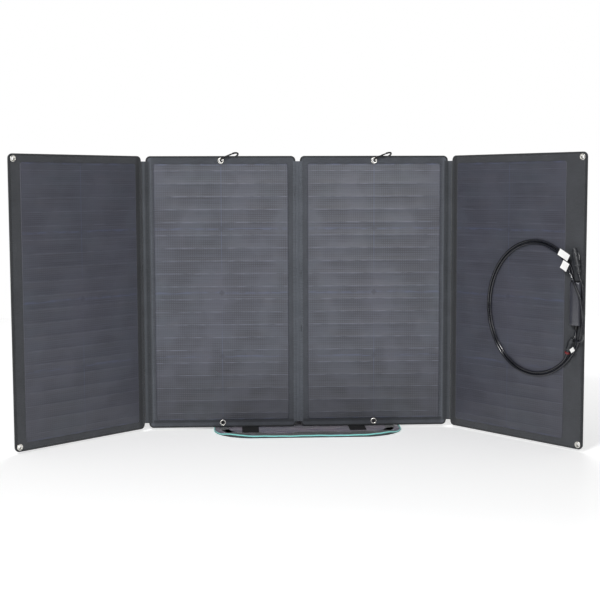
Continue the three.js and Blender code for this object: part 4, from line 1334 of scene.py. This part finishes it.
# The zip slider: a hollow body with two flanges, and its pull tab.
bm = bmesh.new()
SLIDER_X, SLIDER_FOOT, SLIDER_TOP = CASE_RIGHT - 2.6, 60, 74
body = rounded(SLIDER_X - 3.1, SLIDER_FOOT, SLIDER_X + 3.1, SLIDER_TOP, 2.4)
shell = [(3.0, -4.6), (0.6, -4.6), (0.2, -4.4), (0, -4.0), (0.3, -3.4)]
shell += [(0.9, -3.1), (0.9, -2.6), (0.2, -2.3), (2.0, -2.1)]
rings = [[bm.verts.new((x, y, z)) for x, z in body(inset)] for inset, y in shell]
loft(bm, rings, caps=True)
bridge = [(-4.4, 62), (-5.9, 63.5), (-6.2, 67), (-5.9, 70.5), (-4.4, 72)]
sweep(bm, smooth_path([(SLIDER_X, y, z) for y, z in bridge], 0.8), 0.8, 8)
pull = rounded(SLIDER_X - 1.7, 38, SLIDER_X + 1.7, 67, 1.6)
window = rounded(SLIDER_X - 0.7, 60, SLIDER_X + 0.7, 65.5, 0.6, outside=True)
flat = [(1.0, -7.5), (0.25, -7.5), (0, -7.3), (0, -6.7), (0.25, -6.5), (1.0, -6.5)]
tab = plate([pull, window], [(inset * 0.5, y) for inset, y in flat])
tab_mesh = bpy.data.meshes.new("zip_pull")
tab.to_mesh(tab_mesh)
tab.free()
bm.from_mesh(tab_mesh)
add_piece("zip_slider_metal", bm, LEAF, BLACK_METAL, "black_metal", "zip_slider", ("zipper_slider",))


# ---- Junction box ----
BOX_MIDDLE, BOX_FOOT, BOX_WIDTH, BOX_HEIGHT = 392, 290, 30, 102
left, right = BOX_MIDDLE - BOX_WIDTH / 2, BOX_MIDDLE + BOX_WIDTH / 2
top = BOX_FOOT + BOX_HEIGHT
# The tray's section as (inset, y), a gland for each lead, and the domed lid.
profile = [(4, -7.0), (0.9, -7.0), (0.3, -6.75), (0, -6.1), (0, -4.0)]
profile += [(-0.8, -3.5), (-0.8, -3.05), (3, -3.05)]
bm = plate([rounded(left, BOX_FOOT, right, top, 4)], profile)
for x, foot, way in ((UPPER_GLAND.x, top, 1), (LOWER_GLAND.x, BOX_FOOT, -1)):
    gland = [(0, -2.0), (4.3, -2.0), (4.3, 1.2), (3.9, 1.6), (3.9, 2.2), (4.2, 2.6), (4.2, 3.6), (3.7, 4.0)]
    gland += [(3.7, 4.6), (4.0, 5.0), (4.0, 5.9), (3.5, 6.3), (3.5, 6.9), (3.7, 7.3), (3.7, 8.0)]
    gland += [(3.2, 9.0), (2.9, 9.3), (0, 9.3)]
    turned(bm, gland, (x, CABLE_REST, foot), (0, 0, way), 24)
on_wing = (RIGHT_WING, BLACK_PLASTIC, "black_plastic", "right_wing_panel")
add_piece("junction_box_tray", bm, *on_wing, ("junction_box_base",))

LID_HALF_WIDTH, LID_RISE = BOX_WIDTH / 2 - 0.6, 10.2
bm = bmesh.new()
rings = []
stations = [(1.0, 0.0), (1.0, 0.55), (1.6, 0.86), (2.8, 0.97), (4.5, 1.0)]
stations += [(z, 1.0) for z in span(8, BOX_HEIGHT - 8, 8)]
stations += [(BOX_HEIGHT - z, size) for z, size in stations[4::-1]]
for z, size in stations:
    ring = []
    for across, out in arc(0, 0, 1, 0, 1, 24):
        x = -LID_HALF_WIDTH * math.copysign(abs(across) ** 0.85, across) * (0.93 + 0.07 * size)
        y = -7.3 - LID_RISE * max(out, 0.0) ** 0.9 * size
        ring.append(bm.verts.new((BOX_MIDDLE + x, y, BOX_FOOT + z)))
    rings.append(ring)
loft(bm, rings, caps=True)
bmesh.ops.remove_doubles(bm, verts=bm.verts, dist=1e-4)
on_wing = (RIGHT_WING, GRAY_PLASTIC, "gray_plastic", "right_wing_panel")
add_piece("junction_box_cap", bm, *on_wing, ("junction_box_lid",), 50)


# ---- Floor, light and finish ----
FLOOR_RADIUS, FLOOR_DROP, FLOOR_GLOW = 3.0, 0.0005, 0.3
AMBIENT, BACKDROP = 0.31, 1.0
bm = bmesh.new()
turned(bm, [(FLOOR_RADIUS * i / 3, 0) for i in range(4)], (0, 0, 0), (0, 0, 1), 64)
mesh = bpy.data.meshes.new("floor")
bm.to_mesh(mesh)
bm.free()
floor = bpy.data.objects.new("floor", mesh)
floor.location.z = -FLOOR_DROP
bpy.context.collection.objects.link(floor)
pale = Look("pale_floor", srgb(246, 246, 246), 0.9)
speck = pale.noise(pale.coords("Object"), 3.0, 2.0)
pale.put("Emission Color", (1, 1, 1, 1))
pale.put("Emission Strength", FLOOR_GLOW)
worn = pale.blend(pale.ramp(speck, 0.0, 0.15), srgb(246, 246, 246), srgb(240, 240, 241))
pale.put("Base Color", worn)
mesh.materials.append(pale.material)


def softbox(name, place, aim, size, power):
    """A rectangular area light that faces the point aim. Size is width and height in metres."""
    light = bpy.data.lights.new(name, "AREA")
    light.shape = "RECTANGLE"
    light.size, light.size_y = size
    light.energy = power
    lamp = bpy.data.objects.new(name, light)
    lamp.location = place
    lamp.rotation_euler = (Vector(aim) - Vector(place)).to_track_quat("-Z", "Y").to_euler()
    bpy.context.collection.objects.link(lamp)


softbox("key", (-1.5, -3.0, 2.9), (0, 0, 0.35), (0.8, 0.6), 78)
softbox("front", (0.2, -4.4, 1.9), (0, 0, 0.35), (2.6, 1.4), 30)
softbox("strip", (0.55, -3.4, 1.0), (0.55, -0.3, 0.35), (0.16, 1.5), 12)
softbox("rear", (0.6, 3.0, 2.4), (0, 0, 0.3), (2.2, 1.4), 60)
world = bpy.data.worlds.new("studio")
world.use_nodes = True
backdrop = world.node_tree.nodes["Background"]
backdrop.inputs["Color"].default_value = (1, 1, 1, 1)
seen = world.node_tree.nodes.new("ShaderNodeLightPath")
level = world.node_tree.nodes.new("ShaderNodeMapRange")
level.inputs["To Min"].default_value = AMBIENT
level.inputs["To Max"].default_value = BACKDROP
world.node_tree.links.new(seen.outputs["Is Camera Ray"], level.inputs["Value"])
world.node_tree.links.new(level.outputs[0], backdrop.inputs["Strength"])
bpy.context.scene.world = world
bpy.context.scene.view_settings.view_transform = "Standard"
